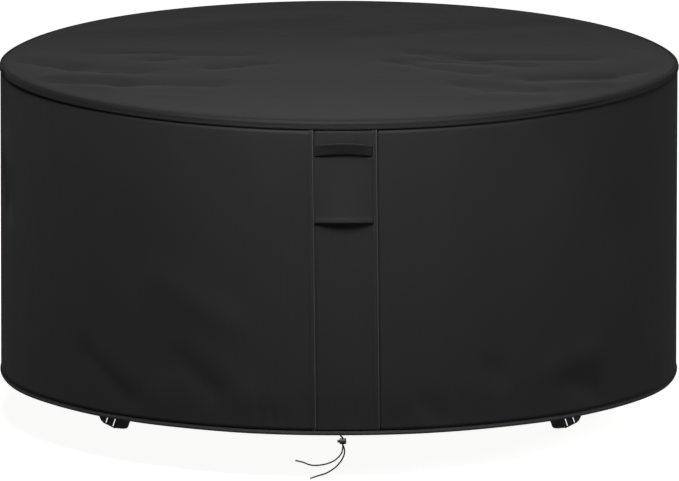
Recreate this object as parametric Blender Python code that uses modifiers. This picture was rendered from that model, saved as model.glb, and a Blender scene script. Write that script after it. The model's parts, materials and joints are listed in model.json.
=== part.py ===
"""Round fitted cover for a patio table and its chairs, hanging over them.

Metres, +Z up. The origin is under the top panel's centre, on its inner face, and
the cover's front faces -Y. An angle around the cover is measured from the front
and grows towards +X, and an arc is that angle times the cover's radius.
"""

import math

import bmesh
import bpy
from mathutils import Matrix, Vector

# ---------------------------------------------------------------- cover
COVER_RADIUS = 0.762
CLOTH = 0.002
SEWN_GAP = 0.0003
RING_STEPS = 72

# The hem hangs lower towards the back than in front.
HEM_BOTTOM = -0.7022
HEM_SIDE_DROP = 0.0094
HEM_BAND_HEIGHT = 0.010
HEM_BAND_THICKNESS = 0.005
HEM_BAND_RADIUS = COVER_RADIUS - 0.001
HEM_BAND_TOP = HEM_BOTTOM + HEM_BAND_HEIGHT

# The rim seam dips at the front's middle and sags a little around the back.
RIM_FRONT_LEVEL = -0.0068
RIM_QUARTER_LIFT = 0.0022
RIM_BACK_LEVEL = -0.0165
RIM_BINDING_HEIGHT = 0.009
RIM_BINDING_THICKNESS = 0.0036
RIM_BINDING_RADIUS = COVER_RADIUS + 0.0003

# The top stands a shoulder above the rim seam in front and lies slack behind.
TOP_FRONT_LEVEL = 0.0112
TOP_BACK_LEVEL = -0.0070
TOP_FALL_STARTS_Y = -0.30
TOP_FALL_ENDS_Y = 0.32
TOP_EDGE_LIFT_FRONT = 0.0010
TOP_EDGE_LIFT_BACK = 0.0020
SHOULDER_REACH = 0.020
TOP_FLAT_RINGS = 10
SHOULDER_RINGS = 3

# ---------------------------------------------------------------- front strip
STRIP_HALF_WIDTH = 0.0706
STRIP_TOP_ARC = 0.0083
STRIP_BOTTOM_ARC = 0.0151
WELT_WIDTH = 0.010
WELT_THICKNESS = 0.0032
WELT_LIFT = 0.0006

HANDLE_TOP = -0.0468
HANDLE_BOTTOM = -0.0718
HANDLE_THICKNESS = 0.0022
HANDLE_BOW = 0.0095
HANDLE_ARCH = 0.0065

FLAP_TOP = HANDLE_BOTTOM - 0.0006
FLAP_BOTTOM = -0.2218
FLAP_BOW = 0.010
FLAP_FOOT_RISE = 0.0020

# ---------------------------------------------------------------- drawcord and its lock
CORD_DIAMETER = 0.003
CORD_POINT_SPACING = 2.4 * CORD_DIAMETER
CORD_HALF_PITCH = CORD_DIAMETER / 2 + SEWN_GAP / 2
CORD_MOUTH_X = 0.0035

LOCK_LEFT_END = 0.00135
LOCK_LENGTH = 0.0149
LOCK_DIAMETER = 0.0135
LOCK_BORE = 0.0108
LOCK_END_WALL = 0.0015
LOCK_CROWN = 0.003
LOCK_CORD_X = LOCK_LEFT_END + 0.0069
LOCK_HEIGHT = -0.7152
LOCK_SLOT_LENGTH = CORD_DIAMETER + 2 * SEWN_GAP
LOCK_SLOT_WIDTH = 2 * CORD_DIAMETER + 3 * SEWN_GAP
PLUNGER_TRAVEL = 0.003
PLUNGER_DIAMETER = LOCK_BORE - 2 * SEWN_GAP
PLUNGER_TIP_DIAMETER = 0.0066
PLUNGER_TIP_LENGTH = 0.005
PLUNGER_END_WALL = 0.0014

# ---------------------------------------------------------------- leg straps
STRAP_ANGLE = {"left": math.radians(-43.6), "right": math.radians(44.1)}
STRAP_MIRROR = {"left": -1.0, "right": 1.0}
STRAP_WIDTH = 0.025
STRAP_THICKNESS = 0.0015
STRAP_LOOP_HALF_WIDTH = 0.0345
STRAP_LOOP_HALF_DEPTH = 0.032
STRAP_TILT = math.radians(5.5)
STRAP_ROLL = math.radians(20)
STRAP_TOP_RISE = 0.0112
STRAP_CLEARANCE = 0.0043
STRAP_RETURN = 0.009
BUCKLE_ANGLE = math.radians(22)
BUCKLE_INSET = 0.0050
BUCKLE_BAR = 0.003
BUCKLE_SLOT = 0.0055
BUCKLE_SPAN = 0.0288
BUCKLE_WIDTH = STRAP_WIDTH + 0.0055
BUCKLE_SLOT_WIDTH = STRAP_WIDTH + 0.001
BUCKLE_FRAME_THICKNESS = 0.003
BUCKLE_BODY_THICKNESS = 0.0065
BUCKLE_SHOULDER = 0.0015
BUCKLE_SPLIT = -0.0030
TONGUE_LENGTH = 0.007
TONGUE_WIDTH = 0.014
TONGUE_THICKNESS = 0.0026

# Folds of the top: a ridge has a positive height, a valley a negative one.
TOP_FOLDS = (
    # name, x1, y1, x2, y2, height, half width
    ("left valley", -0.730, 0.010, -0.595, -0.115, -0.0050, 0.045),
    ("left valley end", -0.595, -0.115, -0.450, -0.185, -0.0050, 0.050),
    ("left front valley", -0.665, -0.300, -0.480, -0.320, -0.0055, 0.045),
    ("long front valley", -0.480, -0.320, -0.275, -0.350, -0.0045, 0.040),
    ("left front ridge", -0.640, -0.250, -0.520, -0.262, 0.0040, 0.040),
    ("left rim ridge", -0.610, -0.365, -0.540, -0.395, 0.0040, 0.035),
    ("short left fold", -0.417, -0.010, -0.370, 0.015, -0.0040, 0.035),
    ("faint left line", -0.550, 0.100, -0.225, 0.065, -0.0025, 0.040),
    ("curved fold", -0.280, -0.135, -0.180, -0.070, -0.0035, 0.035),
    ("right back valley", 0.175, 0.100, 0.310, 0.015, -0.0040, 0.040),
    ("long right valley", 0.310, 0.015, 0.560, 0.000, -0.0040, 0.045),
    ("inner right valley", 0.200, -0.010, 0.420, -0.100, -0.0040, 0.040),
    ("short right fold", 0.125, -0.035, 0.310, -0.205, -0.0035, 0.035),
    ("right rim valley", 0.430, -0.280, 0.590, -0.250, -0.0060, 0.045),
    ("right rim valley end", 0.590, -0.250, 0.720, -0.120, -0.0055, 0.050),
    ("right front valley", 0.280, -0.350, 0.450, -0.420, -0.0050, 0.040),
    ("right front ridge", 0.310, -0.490, 0.445, -0.500, 0.0040, 0.040),
    ("right rim ridge", 0.540, -0.350, 0.665, -0.330, 0.0045, 0.040),
    ("back left wave", -0.450, 0.400, -0.050, 0.560, 0.0030, 0.070),
    ("back right wave", 0.060, 0.330, 0.480, 0.480, -0.0030, 0.070),
)

# Folds of the wall, by arc from the front centre and height.
WALL_FOLDS = (
    # name, arc1, z1, arc2, z2, height, half width
    ("left end line", -1.090, 0.020, -1.040, -0.110, -0.0030, 0.030),
    ("left end dent", -1.085, -0.226, -1.030, -0.300, -0.0045, 0.035),
    ("left end bulge", -1.050, -0.160, -1.000, -0.200, 0.0030, 0.040),
    ("left hem hollow", -0.640, -0.577, -0.515, -0.650, -0.0060, 0.045),
    ("left hem ridge", -0.570, -0.560, -0.440, -0.640, 0.0035, 0.040),
    ("middle hem hollow", -0.365, -0.556, -0.285, -0.610, -0.0055, 0.040),
    ("middle hem ridge", -0.300, -0.540, -0.215, -0.620, 0.0030, 0.040),
    ("light diagonal", -0.425, -0.365, -0.255, -0.455, 0.0040, 0.045),
    ("left middle hollow", -0.560, -0.230, -0.500, -0.330, -0.0035, 0.060),
    ("right hollow", 0.560, -0.100, 0.700, -0.300, -0.0060, 0.110),
    ("right hem hollow", 0.560, -0.615, 0.645, -0.650, -0.0055, 0.040),
    ("right hem ridge", 0.520, -0.590, 0.640, -0.565, 0.0040, 0.035),
    ("right dimple", 0.362, -0.570, 0.375, -0.590, -0.0035, 0.030),
    ("front right fold", 0.195, -0.635, 0.225, -0.665, -0.0030, 0.025),
    ("back left fall", -1.700, -0.250, -1.750, -0.690, -0.0070, 0.060),
    ("back right fall", 1.620, -0.200, 1.680, -0.690, -0.0070, 0.060),
    ("back middle fall", 2.250, -0.350, 2.270, -0.690, 0.0060, 0.070),
)

# Broad waves of the wall, growing from the rim to the hem.
WALL_WAVES = (
    # name, lobes, height at the hem, phase in degrees
    ("slow wave", 5, 0.0012, 40.0),
    ("quick wave", 13, 0.0012, 180.0),
)

# Routes of the drawcord's two free ends, from under the lock, chosen by eye.
CORD_ROUTES = {
    # x, y offset from the lock's axis, z
    "drawcord_front": (
        (0.0083, -0.0017, -0.7240),
        (0.0080, -0.0020, -0.7320),
        (0.0058, -0.0030, -0.7409),
        (0.0005, -0.0045, -0.7485),
        (-0.0086, -0.0060, -0.7566),
        (-0.0212, -0.0070, -0.7630),
        (-0.0356, -0.0075, -0.7668),
        (-0.0482, -0.0078, -0.7683),
        (-0.0600, -0.0080, -0.7680),
        (-0.0690, -0.0080, -0.7657),
        (-0.0790, -0.0078, -0.7616),
        (-0.0960, -0.0072, -0.7575),
    ),
    "drawcord_back": (
        (0.0087, 0.0017, -0.7240),
        (0.0104, 0.0020, -0.7285),
        (0.0124, 0.0026, -0.7372),
        (0.0108, 0.0034, -0.7483),
        (0.0059, 0.0040, -0.7584),
        (-0.0005, 0.0044, -0.7676),
        (-0.0090, 0.0046, -0.7762),
        (-0.0194, 0.0044, -0.7837),
        (-0.0284, 0.0040, -0.7886),
        (-0.0356, 0.0036, -0.7912),
        (-0.0446, 0.0032, -0.7938),
        (-0.0555, 0.0028, -0.7973),
        (-0.0636, 0.0025, -0.8002),
    ),
}

FINISHES = {
    # name: (colour, roughness, metallic)
    "woven_polyester": ((0.030, 0.030, 0.031), 0.62, 0.0),
    "seam_tape": ((0.036, 0.036, 0.037), 0.60, 0.0),
    "hem_tape": ((0.050, 0.050, 0.051), 0.58, 0.0),
    "webbing": ((0.024, 0.024, 0.025), 0.66, 0.0),
    "moulded_plastic": ((0.028, 0.029, 0.032), 0.32, 0.0),
    "drawcord": ((0.020, 0.020, 0.021), 0.60, 0.0),
}


# ---------------------------------------------------------------- scene helpers
def clear_scene():
    """Remove every object that the file holds."""
    for old in list(bpy.data.objects):
        bpy.data.objects.remove(old, do_unlink=True)


def new_collection(name):
    """Make a collection under the scene's own."""
    collection = bpy.data.collections.new(name)
    bpy.context.scene.collection.children.link(collection)
    return collection


def finish_material(name):
    """Return the Principled material of a named finish."""
    material = bpy.data.materials.get(name)
    if material is None:
        colour, roughness, metallic = FINISHES[name]
        material = bpy.data.materials.new(name)
        material.use_nodes = True
        shader = material.node_tree.nodes["Principled BSDF"]
        shader.inputs["Base Color"].default_value = (*colour, 1.0)
        shader.inputs["Roughness"].default_value = roughness
        shader.inputs["Metallic"].default_value = metallic
    return material


def add_object(name, shape, finish, collection, matrix=None):
    """Turn a bmesh into an object of the collection and free the bmesh."""
    mesh = bpy.data.meshes.new(name)
    shape.to_mesh(mesh)
    shape.free()
    if matrix is not None:
        mesh.transform(matrix)
        if matrix.determinant() < 0:
            mesh.flip_normals()
    if finish is not None:
        mesh.materials.append(finish_material(finish))
    made = bpy.data.objects.new(name, mesh)
    collection.objects.link(made)
    return made


def smooth(made, angle=40.0):
    """Shade an object smooth, with sharp edges past an angle in degrees."""
    made.data.shade_smooth()
    made.data.set_sharp_from_angle(angle=math.radians(angle))


def hide_cutter(made):
    """Show a cutter as wire and keep it out of a render."""
    made.hide_render = True
    made.display_type = "WIRE"


def cut(made, cutter):
    """Take a cutter's solid out of an object."""
    boolean = made.modifiers.new("cut " + cutter.name, "BOOLEAN")
    boolean.operation = "DIFFERENCE"
    boolean.solver = "EXACT"
    boolean.object = cutter


def join(made, other):
    """Join another solid, kept as a hidden tool, onto an object."""
    boolean = made.modifiers.new("join " + other.name, "BOOLEAN")
    boolean.operation = "UNION"
    boolean.solver = "EXACT"
    boolean.object = other


def add_bevel(made, width, segments=2):
    """Round an object's edges."""
    bevel = made.modifiers.new("rounded edges", "BEVEL")
    bevel.width = width
    bevel.segments = segments
    bevel.limit_method = "ANGLE"
    bevel.angle_limit = math.radians(30)


def mapped_grid(columns, rows, place, wraps=False):
    """Make a grid and put each of its points where place(u, v) says.

    A row or column whose points fall together is welded, which closes a ring.
    """
    shape = bmesh.new()
    bmesh.ops.create_grid(shape, x_segments=columns, y_segments=rows, size=0.5)
    for point in shape.verts:
        point.co = place(point.co.x + 0.5, point.co.y + 0.5)
    if wraps:
        bmesh.ops.remove_doubles(shape, verts=shape.verts, dist=0.00001)
    return shape


def add_sheet(name, columns, rows, place, thickness, finish, collection, wraps=False):
    """Make a sheet of cloth whose outer face is a mapped grid."""
    sheet = add_object(name, mapped_grid(columns, rows, place, wraps), finish, collection)
    solidify = sheet.modifiers.new("cloth", "SOLIDIFY")
    solidify.thickness = thickness
    solidify.offset = -1.0
    sheet.data.shade_smooth()
    return sheet


def add_bar(name, columns, sides, place, finish, collection):
    """Make a bar of closed section, with both ends filled."""
    shape = mapped_grid(columns, sides, place, wraps=True)
    bmesh.ops.holes_fill(shape, edges=shape.edges, sides=sides)
    bmesh.ops.recalc_face_normals(shape, faces=shape.faces)
    bar = add_object(name, shape, finish, collection)
    smooth(bar)
    return bar


def box_shape(size, centre):
    """Make a box of a size about a centre."""
    shape = bmesh.new()
    bmesh.ops.create_cube(shape, size=1.0)
    bmesh.ops.scale(shape, vec=size, verts=shape.verts)
    bmesh.ops.translate(shape, vec=centre, verts=shape.verts)
    return shape


def rod_shape(diameter, left, right, segments=20):
    """Make a rod along X between two places on that axis."""
    shape = bmesh.new()
    length = right - left
    bmesh.ops.create_cone(
        shape,
        cap_ends=True,
        segments=segments,
        radius1=diameter / 2,
        radius2=diameter / 2,
        depth=length,
    )
    bmesh.ops.rotate(shape, matrix=Matrix.Rotation(math.pi / 2, 3, "Y"), verts=shape.verts)
    bmesh.ops.translate(shape, vec=(left + length / 2, 0, 0), verts=shape.verts)
    return shape


# ---------------------------------------------------------------- the cover's form
def blend(start, end, amount):
    """Return the value between start and end, for an amount of 0 to 1."""
    return start + (end - start) * amount


def ease(value, low, high):
    """Rise smoothly from 0 at low to 1 at high."""
    amount = min(max((value - low) / (high - low), 0.0), 1.0)
    return amount * amount * (3 - 2 * amount)


def segment_distance(x, y, x1, y1, x2, y2):
    """Return the distance from a point to a straight line between two others."""
    run_x = x2 - x1
    run_y = y2 - y1
    along = ((x - x1) * run_x + (y - y1) * run_y) / (run_x * run_x + run_y * run_y)
    along = min(max(along, 0.0), 1.0)
    return math.hypot(x - x1 - along * run_x, y - y1 - along * run_y)


def fold_height(folds, x, y):
    """Add up what each fold of a table raises at a point."""
    height = 0.0
    for _name, x1, y1, x2, y2, rise, half_width in folds:
        away = segment_distance(x, y, x1, y1, x2, y2) / half_width
        height += rise * math.exp(-away * away)
    return height


def wrapped_arc(arc):
    """Bring an arc into the half turn on either side of the front."""
    turn = 2 * math.pi * COVER_RADIUS
    return (arc + turn / 2) % turn - turn / 2


def wall_radius(angle, height):
    """Return the outer face's distance from the cover's axis."""
    arc = wrapped_arc(angle * COVER_RADIUS)
    depth_down = min(max(height / HEM_BOTTOM, 0.0), 1.0)
    radius = COVER_RADIUS + fold_height(WALL_FOLDS, arc, height)
    for _name, lobes, rise, phase in WALL_WAVES:
        radius += rise * depth_down * math.cos(lobes * angle + math.radians(phase))
    return radius


def around(angle, radius, height):
    """Return the point at an angle from the front."""
    return Vector((radius * math.sin(angle), -radius * math.cos(angle), height))


def on_wall(arc, height, lift=0.0):
    """Return the point on the wall's outer face, or a lift outside it."""
    angle = arc / COVER_RADIUS
    return around(angle, wall_radius(angle, height) + lift, height)


def backness(angle):
    """Return 0 along the front and 1 around the back, eased at the sides."""
    return ease(-math.cos(angle), -0.30, 0.35)


def hem_bottom(angle):
    """Return the height of the hem's lower edge."""
    return HEM_BOTTOM - HEM_SIDE_DROP * (1 - math.cos(angle))


def rim_level(angle):
    """Return the height of the rim seam's middle."""
    front = RIM_FRONT_LEVEL + RIM_QUARTER_LIFT * math.sin(2 * angle) ** 2
    return blend(front, RIM_BACK_LEVEL, backness(angle))


def wall_top(angle):
    """Return the height of the wall's upper edge."""
    return rim_level(angle) - RIM_BINDING_HEIGHT / 2 - SEWN_GAP


def top_edge(angle):
    """Return the height of the top's edge, where it meets the rim binding."""
    lift = blend(TOP_EDGE_LIFT_FRONT, TOP_EDGE_LIFT_BACK, backness(angle))
    return rim_level(angle) + RIM_BINDING_HEIGHT / 2 + lift


def top_level(y):
    """Return the top's height at a place between front and back, without folds."""
    return blend(TOP_FRONT_LEVEL, TOP_BACK_LEVEL, ease(y, TOP_FALL_STARTS_Y, TOP_FALL_ENDS_Y))


def strip_arc(height, side):
    """Return the arc of a strip seam's middle; side is -1 on the left, 1 on the right."""
    down = (height - wall_top(0.0)) / (HEM_BAND_TOP - wall_top(0.0))
    return blend(STRIP_TOP_ARC, STRIP_BOTTOM_ARC, down) + side * STRIP_HALF_WIDTH


# ---------------------------------------------------------------- panels
def make_top_panel(collection):
    """Make the round top: slack cloth with folds, turned down at a soft shoulder."""
    rings = TOP_FLAT_RINGS + SHOULDER_RINGS
    flat_radius = COVER_RADIUS - SHOULDER_REACH
    flat_share = TOP_FLAT_RINGS / rings

    def place(u, v):
        angle = 2 * math.pi * v
        if u <= flat_share:
            radius = flat_radius * u / flat_share
            turned = 0.0
        else:
            turned = (u - flat_share) / (1 - flat_share) * math.pi / 2
            radius = flat_radius + SHOULDER_REACH * math.sin(turned)
        point = around(angle, radius, 0.0)
        inside = 1 - ease(radius, COVER_RADIUS - 0.09, COVER_RADIUS - 0.01)
        level = top_level(point.y) + fold_height(TOP_FOLDS, point.x, point.y) * inside
        point.z = blend(top_edge(angle), level, math.cos(turned))
        return point

    add_sheet("top_panel", rings, RING_STEPS, place, CLOTH, "woven_polyester", collection, wraps=True)


def add_ring(name, height, thickness, centre, finish, collection):
    """Make a band all round, of rounded section; centre(angle) gives its radius and level."""
    squareness = 0.6

    def place(u, v):
        angle = 2 * math.pi * u
        turn = 2 * math.pi * v
        radius, level = centre(angle)
        across = math.copysign(abs(math.cos(turn)) ** squareness, math.cos(turn))
        upward = math.copysign(abs(math.sin(turn)) ** squareness, math.sin(turn))
        return around(angle, radius + across * thickness / 2, level + upward * height / 2)

    ring = add_object(name, mapped_grid(RING_STEPS, 8, place, wraps=True), finish, collection)
    ring.data.shade_smooth()


def make_rim_binding(collection):
    """Make the binding over the seam of top and wall."""

    def centre(angle):
        level = rim_level(angle)
        return wall_radius(angle, level) + RIM_BINDING_RADIUS - COVER_RADIUS, level

    add_ring(
        "rim_binding",
        RIM_BINDING_HEIGHT,
        RIM_BINDING_THICKNESS,
        centre,
        "seam_tape",
        collection,
    )


def make_hem_casing(collection):
    """Make the casing round the lower edge, filled by the drawcord that runs in it."""

    def centre(angle):
        level = hem_bottom(angle) + HEM_BAND_HEIGHT / 2
        return wall_radius(angle, level) + HEM_BAND_RADIUS - COVER_RADIUS, level

    add_ring("hem_casing", HEM_BAND_HEIGHT, HEM_BAND_THICKNESS, centre, "hem_tape", collection)


def make_wall_panel(collection):
    """Make the long wall panel, from the strip's right seam round to its left one."""
    turn = 2 * math.pi * COVER_RADIUS

    def place(u, v):
        height = blend(HEM_BAND_TOP + SEWN_GAP, wall_top(0.0), v)
        first = strip_arc(height, 1) + SEWN_GAP
        last = strip_arc(height, -1) - SEWN_GAP + turn
        arc = blend(first, last, u)
        angle = arc / COVER_RADIUS
        foot = hem_bottom(angle) + HEM_BAND_HEIGHT + SEWN_GAP
        return on_wall(arc, blend(foot, wall_top(angle), v))

    add_sheet("wall_panel", RING_STEPS, 9, place, CLOTH, "woven_polyester", collection)


def make_front_strip(collection):
    """Make the narrow strip panel between the two front seams."""

    def place(u, v):
        height = blend(HEM_BAND_TOP + SEWN_GAP, wall_top(0.0), v)
        first = strip_arc(height, -1) + SEWN_GAP
        last = strip_arc(height, 1) - SEWN_GAP
        return on_wall(blend(first, last, u), height)

    add_sheet("front_strip", 8, 12, place, CLOTH, "woven_polyester", collection)


def make_seam_welt(name, side, collection):
    """Make the raised welt over one of the strip's seams."""

    def place(u, v):
        turn = 2 * math.pi * v
        height = blend(wall_top(0.0), HEM_BAND_TOP + SEWN_GAP, u)
        arc = strip_arc(height, side) + math.cos(turn) * WELT_WIDTH / 2
        lift = WELT_LIFT + WELT_THICKNESS * (1 + math.sin(turn)) / 2
        return on_wall(arc, height, lift)

    add_bar(name, 14, 8, place, "seam_tape", collection)


def handle_arch(u):
    """Return how far the handle arches up at a share of its length."""
    return HANDLE_ARCH * (1 - (2 * u - 1) ** 2)


def make_handle(collection):
    """Make the webbing handle, bowed outward and upward between the two welts."""

    def place(u, v):
        middle = 1 - (2 * u - 1) ** 4
        height = blend(HANDLE_BOTTOM, HANDLE_TOP, v) + handle_arch(u)
        reach = STRIP_HALF_WIDTH - WELT_WIDTH / 2 - SEWN_GAP
        arc = strip_arc(height, 0) + blend(-reach, reach, u)
        lift = SEWN_GAP + HANDLE_THICKNESS + 0.0004 + HANDLE_BOW * middle
        return on_wall(arc, height, lift)

    add_sheet("handle_strap", 14, 2, place, HANDLE_THICKNESS, "webbing", collection)


def make_vent_flap(collection):
    """Make the vent's flap: shut at its head and sides, standing out at its foot.

    Its head follows the handle's lower edge, and its foot rises where it stands out.
    """

    def place(u, v):
        height = blend(FLAP_BOTTOM, FLAP_TOP + handle_arch(u), v)
        reach = STRIP_HALF_WIDTH - WELT_WIDTH / 2 - SEWN_GAP
        arc = strip_arc(height, 0) + blend(-reach, reach, u)
        opened = math.sin(math.pi * u) * (1 - v) ** 1.6
        rise = FLAP_FOOT_RISE * opened
        return on_wall(arc, height + rise, SEWN_GAP + 0.0004 + CLOTH + FLAP_BOW * opened)

    add_sheet("vent_flap", 12, 9, place, CLOTH, "woven_polyester", collection)


# ---------------------------------------------------------------- drawcord and lock
def smooth_route(points, spacing):
    """Return evenly spaced points of a Catmull-Rom curve through the given ones."""
    padded = [2 * points[0] - points[1], *points, 2 * points[-1] - points[-2]]
    fine = []
    for before, start, end, after in zip(padded, padded[1:], padded[2:], padded[3:]):
        for step in range(24):
            t = step / 24
            fine.append(
                0.5
                * (
                    2 * start
                    + (end - before) * t
                    + (2 * before - 5 * start + 4 * end - after) * t ** 2
                    + (3 * start - before - 3 * end + after) * t ** 3
                )
            )
    fine.append(points[-1])
    length = sum((b - a).length for a, b in zip(fine, fine[1:]))
    step = length / round(length / spacing)
    route = [fine[0]]
    walked = 0.0
    for a, b in zip(fine, fine[1:]):
        walked += (b - a).length
        if walked >= step:
            route.append(b)
            walked -= step
    route[-1] = fine[-1]
    return route


def add_cord(name, points, diameter, finish, collection):
    """Make a round cord through route points, with flat ends."""
    curve = bpy.data.curves.new(name, "CURVE")
    curve.dimensions = "3D"
    curve.bevel_depth = diameter / 2
    curve.bevel_resolution = 2
    curve.use_fill_caps = True
    spline = curve.splines.new("POLY")
    route = smooth_route(points, CORD_POINT_SPACING)
    spline.points.add(len(route) - 1)
    for place, point in zip(route, spline.points):
        point.co = (*place, 1.0)
    curve.materials.append(finish_material(finish))
    collection.objects.link(bpy.data.objects.new(name, curve))


def lock_axis_y():
    """Return the depth of the lock's axis, under the middle of the hem casing."""
    mouth = on_wall(CORD_MOUTH_X, HEM_BOTTOM + HEM_BAND_HEIGHT / 2)
    return mouth.y + COVER_RADIUS - HEM_BAND_RADIUS


def make_drawcord(collection):
    """Make the drawcord's two free ends, from the casing's mouth through the lock."""
    depth = lock_axis_y()
    mouth_height = HEM_BOTTOM - 2 * SEWN_GAP
    for name, route in CORD_ROUTES.items():
        line = depth + math.copysign(CORD_HALF_PITCH, route[0][1])
        slant = (LOCK_CORD_X - CORD_MOUTH_X) / 2
        points = [
            Vector((CORD_MOUTH_X, line, mouth_height)),
            Vector((CORD_MOUTH_X + slant, line, mouth_height - slant)),
            Vector((LOCK_CORD_X, line, LOCK_HEIGHT + 0.57 * LOCK_DIAMETER)),
            Vector((LOCK_CORD_X, line, LOCK_HEIGHT + 0.38 * LOCK_DIAMETER)),
            Vector((LOCK_CORD_X, line, LOCK_HEIGHT)),
            Vector((LOCK_CORD_X, line, LOCK_HEIGHT - 0.42 * LOCK_DIAMETER)),
        ]
        points += [Vector((x, depth + offset, z)) for x, offset, z in route]
        add_cord(name, points, CORD_DIAMETER, "drawcord", collection)


def make_cord_lock(collection, cutters):
    """Make the lock's barrel and its spring plunger, with a slot for the two cords."""
    place = Matrix.Translation((0, lock_axis_y(), LOCK_HEIGHT))
    right_end = LOCK_LEFT_END + LOCK_LENGTH

    body = rod_shape(LOCK_DIAMETER, LOCK_LEFT_END, right_end)
    crown = [e for e in body.edges if min(p.co.x for p in e.verts) > right_end - 0.0001]
    bmesh.ops.bevel(
        body,
        geom=crown,
        offset=LOCK_CROWN,
        segments=3,
        profile=0.5,
        affect="EDGES",
        material=-1,
    )
    barrel = add_object("lock_barrel", body, "moulded_plastic", collection, place)
    add_bevel(barrel, 0.0006)
    bore = add_object(
        "bore cutter",
        rod_shape(LOCK_BORE, LOCK_LEFT_END - 0.001, right_end - LOCK_END_WALL),
        None,
        cutters,
        place,
    )
    slot = add_object(
        "cord slot cutter",
        box_shape((LOCK_SLOT_LENGTH, LOCK_SLOT_WIDTH, 2 * LOCK_DIAMETER), (LOCK_CORD_X, 0, 0)),
        None,
        cutters,
        place,
    )
    cut(barrel, bore)
    cut(barrel, slot)

    slot_left = LOCK_CORD_X - LOCK_SLOT_LENGTH / 2 - PLUNGER_TRAVEL
    slot_right = LOCK_CORD_X + LOCK_SLOT_LENGTH / 2
    plunger = add_object(
        "lock_plunger",
        rod_shape(PLUNGER_DIAMETER, LOCK_LEFT_END, slot_right + PLUNGER_END_WALL),
        "moulded_plastic",
        collection,
        place,
    )
    tip = add_object(
        "plunger tip",
        rod_shape(PLUNGER_TIP_DIAMETER, LOCK_LEFT_END - PLUNGER_TIP_LENGTH, LOCK_LEFT_END + 0.0005),
        None,
        cutters,
        place,
    )
    long_slot = add_object(
        "plunger slot cutter",
        box_shape(
            (slot_right - slot_left, LOCK_SLOT_WIDTH, 2 * LOCK_DIAMETER),
            ((slot_left + slot_right) / 2, 0, 0),
        ),
        None,
        cutters,
        place,
    )
    add_bevel(tip, 0.0008)
    join(plunger, tip)
    cut(plunger, long_slot)
    for tool in (bore, slot, tip, long_slot):
        hide_cutter(tool)
    for made in (barrel, plunger):
        smooth(made, 35)


# ---------------------------------------------------------------- leg straps
def strap_frame(side_name):
    """Return the placing of a leg strap's loop, whose front middle is its origin.

    Local X runs along the hem towards the cover's front, Y points out of the cover
    and Z up. The loop hangs down inwards and towards the buckle, where X is positive.
    """
    angle = STRAP_ANGLE[side_name]
    casing_face = wall_radius(angle, HEM_BOTTOM) - COVER_RADIUS + HEM_BAND_RADIUS - HEM_BAND_THICKNESS / 2
    drop = STRAP_WIDTH / 2
    radius = casing_face - STRAP_CLEARANCE - STRAP_THICKNESS / 2 + drop * math.sin(STRAP_TILT)
    centre = around(angle, radius, hem_bottom(angle) + STRAP_TOP_RISE - drop)
    turn = Matrix.Rotation(angle + math.pi, 4, "Z")
    mirror = Matrix.Scale(STRAP_MIRROR[side_name], 4, (1, 0, 0))
    tip = Matrix.Rotation(STRAP_TILT, 4, "X")
    roll = Matrix.Rotation(STRAP_ROLL, 4, "Y")
    return Matrix.Translation(centre) @ turn @ mirror @ tip @ roll


def loop_point(turn):
    """Return the loop's point at an angle from its front."""
    return Vector(
        (
            STRAP_LOOP_HALF_WIDTH * math.sin(turn),
            STRAP_LOOP_HALF_DEPTH * (math.cos(turn) - 1),
            0.0,
        )
    )


def buckle_frame():
    """Return the buckle's placing in the loop: X along it, Y out of it, Z across it."""
    slope = math.atan2(
        STRAP_LOOP_HALF_DEPTH * math.sin(BUCKLE_ANGLE),
        STRAP_LOOP_HALF_WIDTH * math.cos(BUCKLE_ANGLE),
    )
    turned = Matrix.Translation(loop_point(BUCKLE_ANGLE)) @ Matrix.Rotation(-slope, 4, "Z")
    return turned @ Matrix.Translation((0, -BUCKLE_INSET, 0))


def strap_route():
    """Return the webbing's route around the leg, hooked over both buckle bars."""
    frame = buckle_frame()
    bar_corner = math.hypot(BUCKLE_BAR, BUCKLE_FRAME_THICKNESS) / 2
    wrap = bar_corner + 1.5 * SEWN_GAP + STRAP_THICKNESS / 2
    hook_steps = 6

    def hook(side):
        bar = Vector((side * BUCKLE_SPAN / 2, 0, 0))
        points = [bar + Vector((side * STRAP_RETURN, -wrap, 0))]
        for step in range(hook_steps + 1):
            turn = math.pi * step / hook_steps
            points.append(bar + Vector((-side * wrap * math.sin(turn), -wrap * math.cos(turn), 0)))
        points.append(bar + Vector((side * 0.004, wrap, 0)))
        return [frame @ point for point in points]

    reach = math.asin((BUCKLE_SPAN / 2 + 0.010) / STRAP_LOOP_HALF_WIDTH)
    first = BUCKLE_ANGLE + reach
    last = BUCKLE_ANGLE - reach + 2 * math.pi
    ring_steps = 18
    ring = [loop_point(blend(first, last, step / ring_steps)) for step in range(ring_steps + 1)]
    return hook(1) + ring + list(reversed(hook(-1)))


def make_webbing(side_name, placing, collection):
    """Make a leg strap's webbing, one band around the leg and over both bars."""
    route = strap_route()
    last = len(route) - 1

    def place(u, v):
        point = route[round(u * last)].copy()
        point.z = blend(-STRAP_WIDTH / 2, STRAP_WIDTH / 2, v)
        return point

    shape = mapped_grid(last, 1, place)
    webbing = add_object("leg_strap_" + side_name, shape, "webbing", collection, placing)
    solidify = webbing.modifiers.new("webbing", "SOLIDIFY")
    solidify.thickness = STRAP_THICKNESS
    solidify.offset = 0.0
    smooth(webbing, 60)


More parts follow.
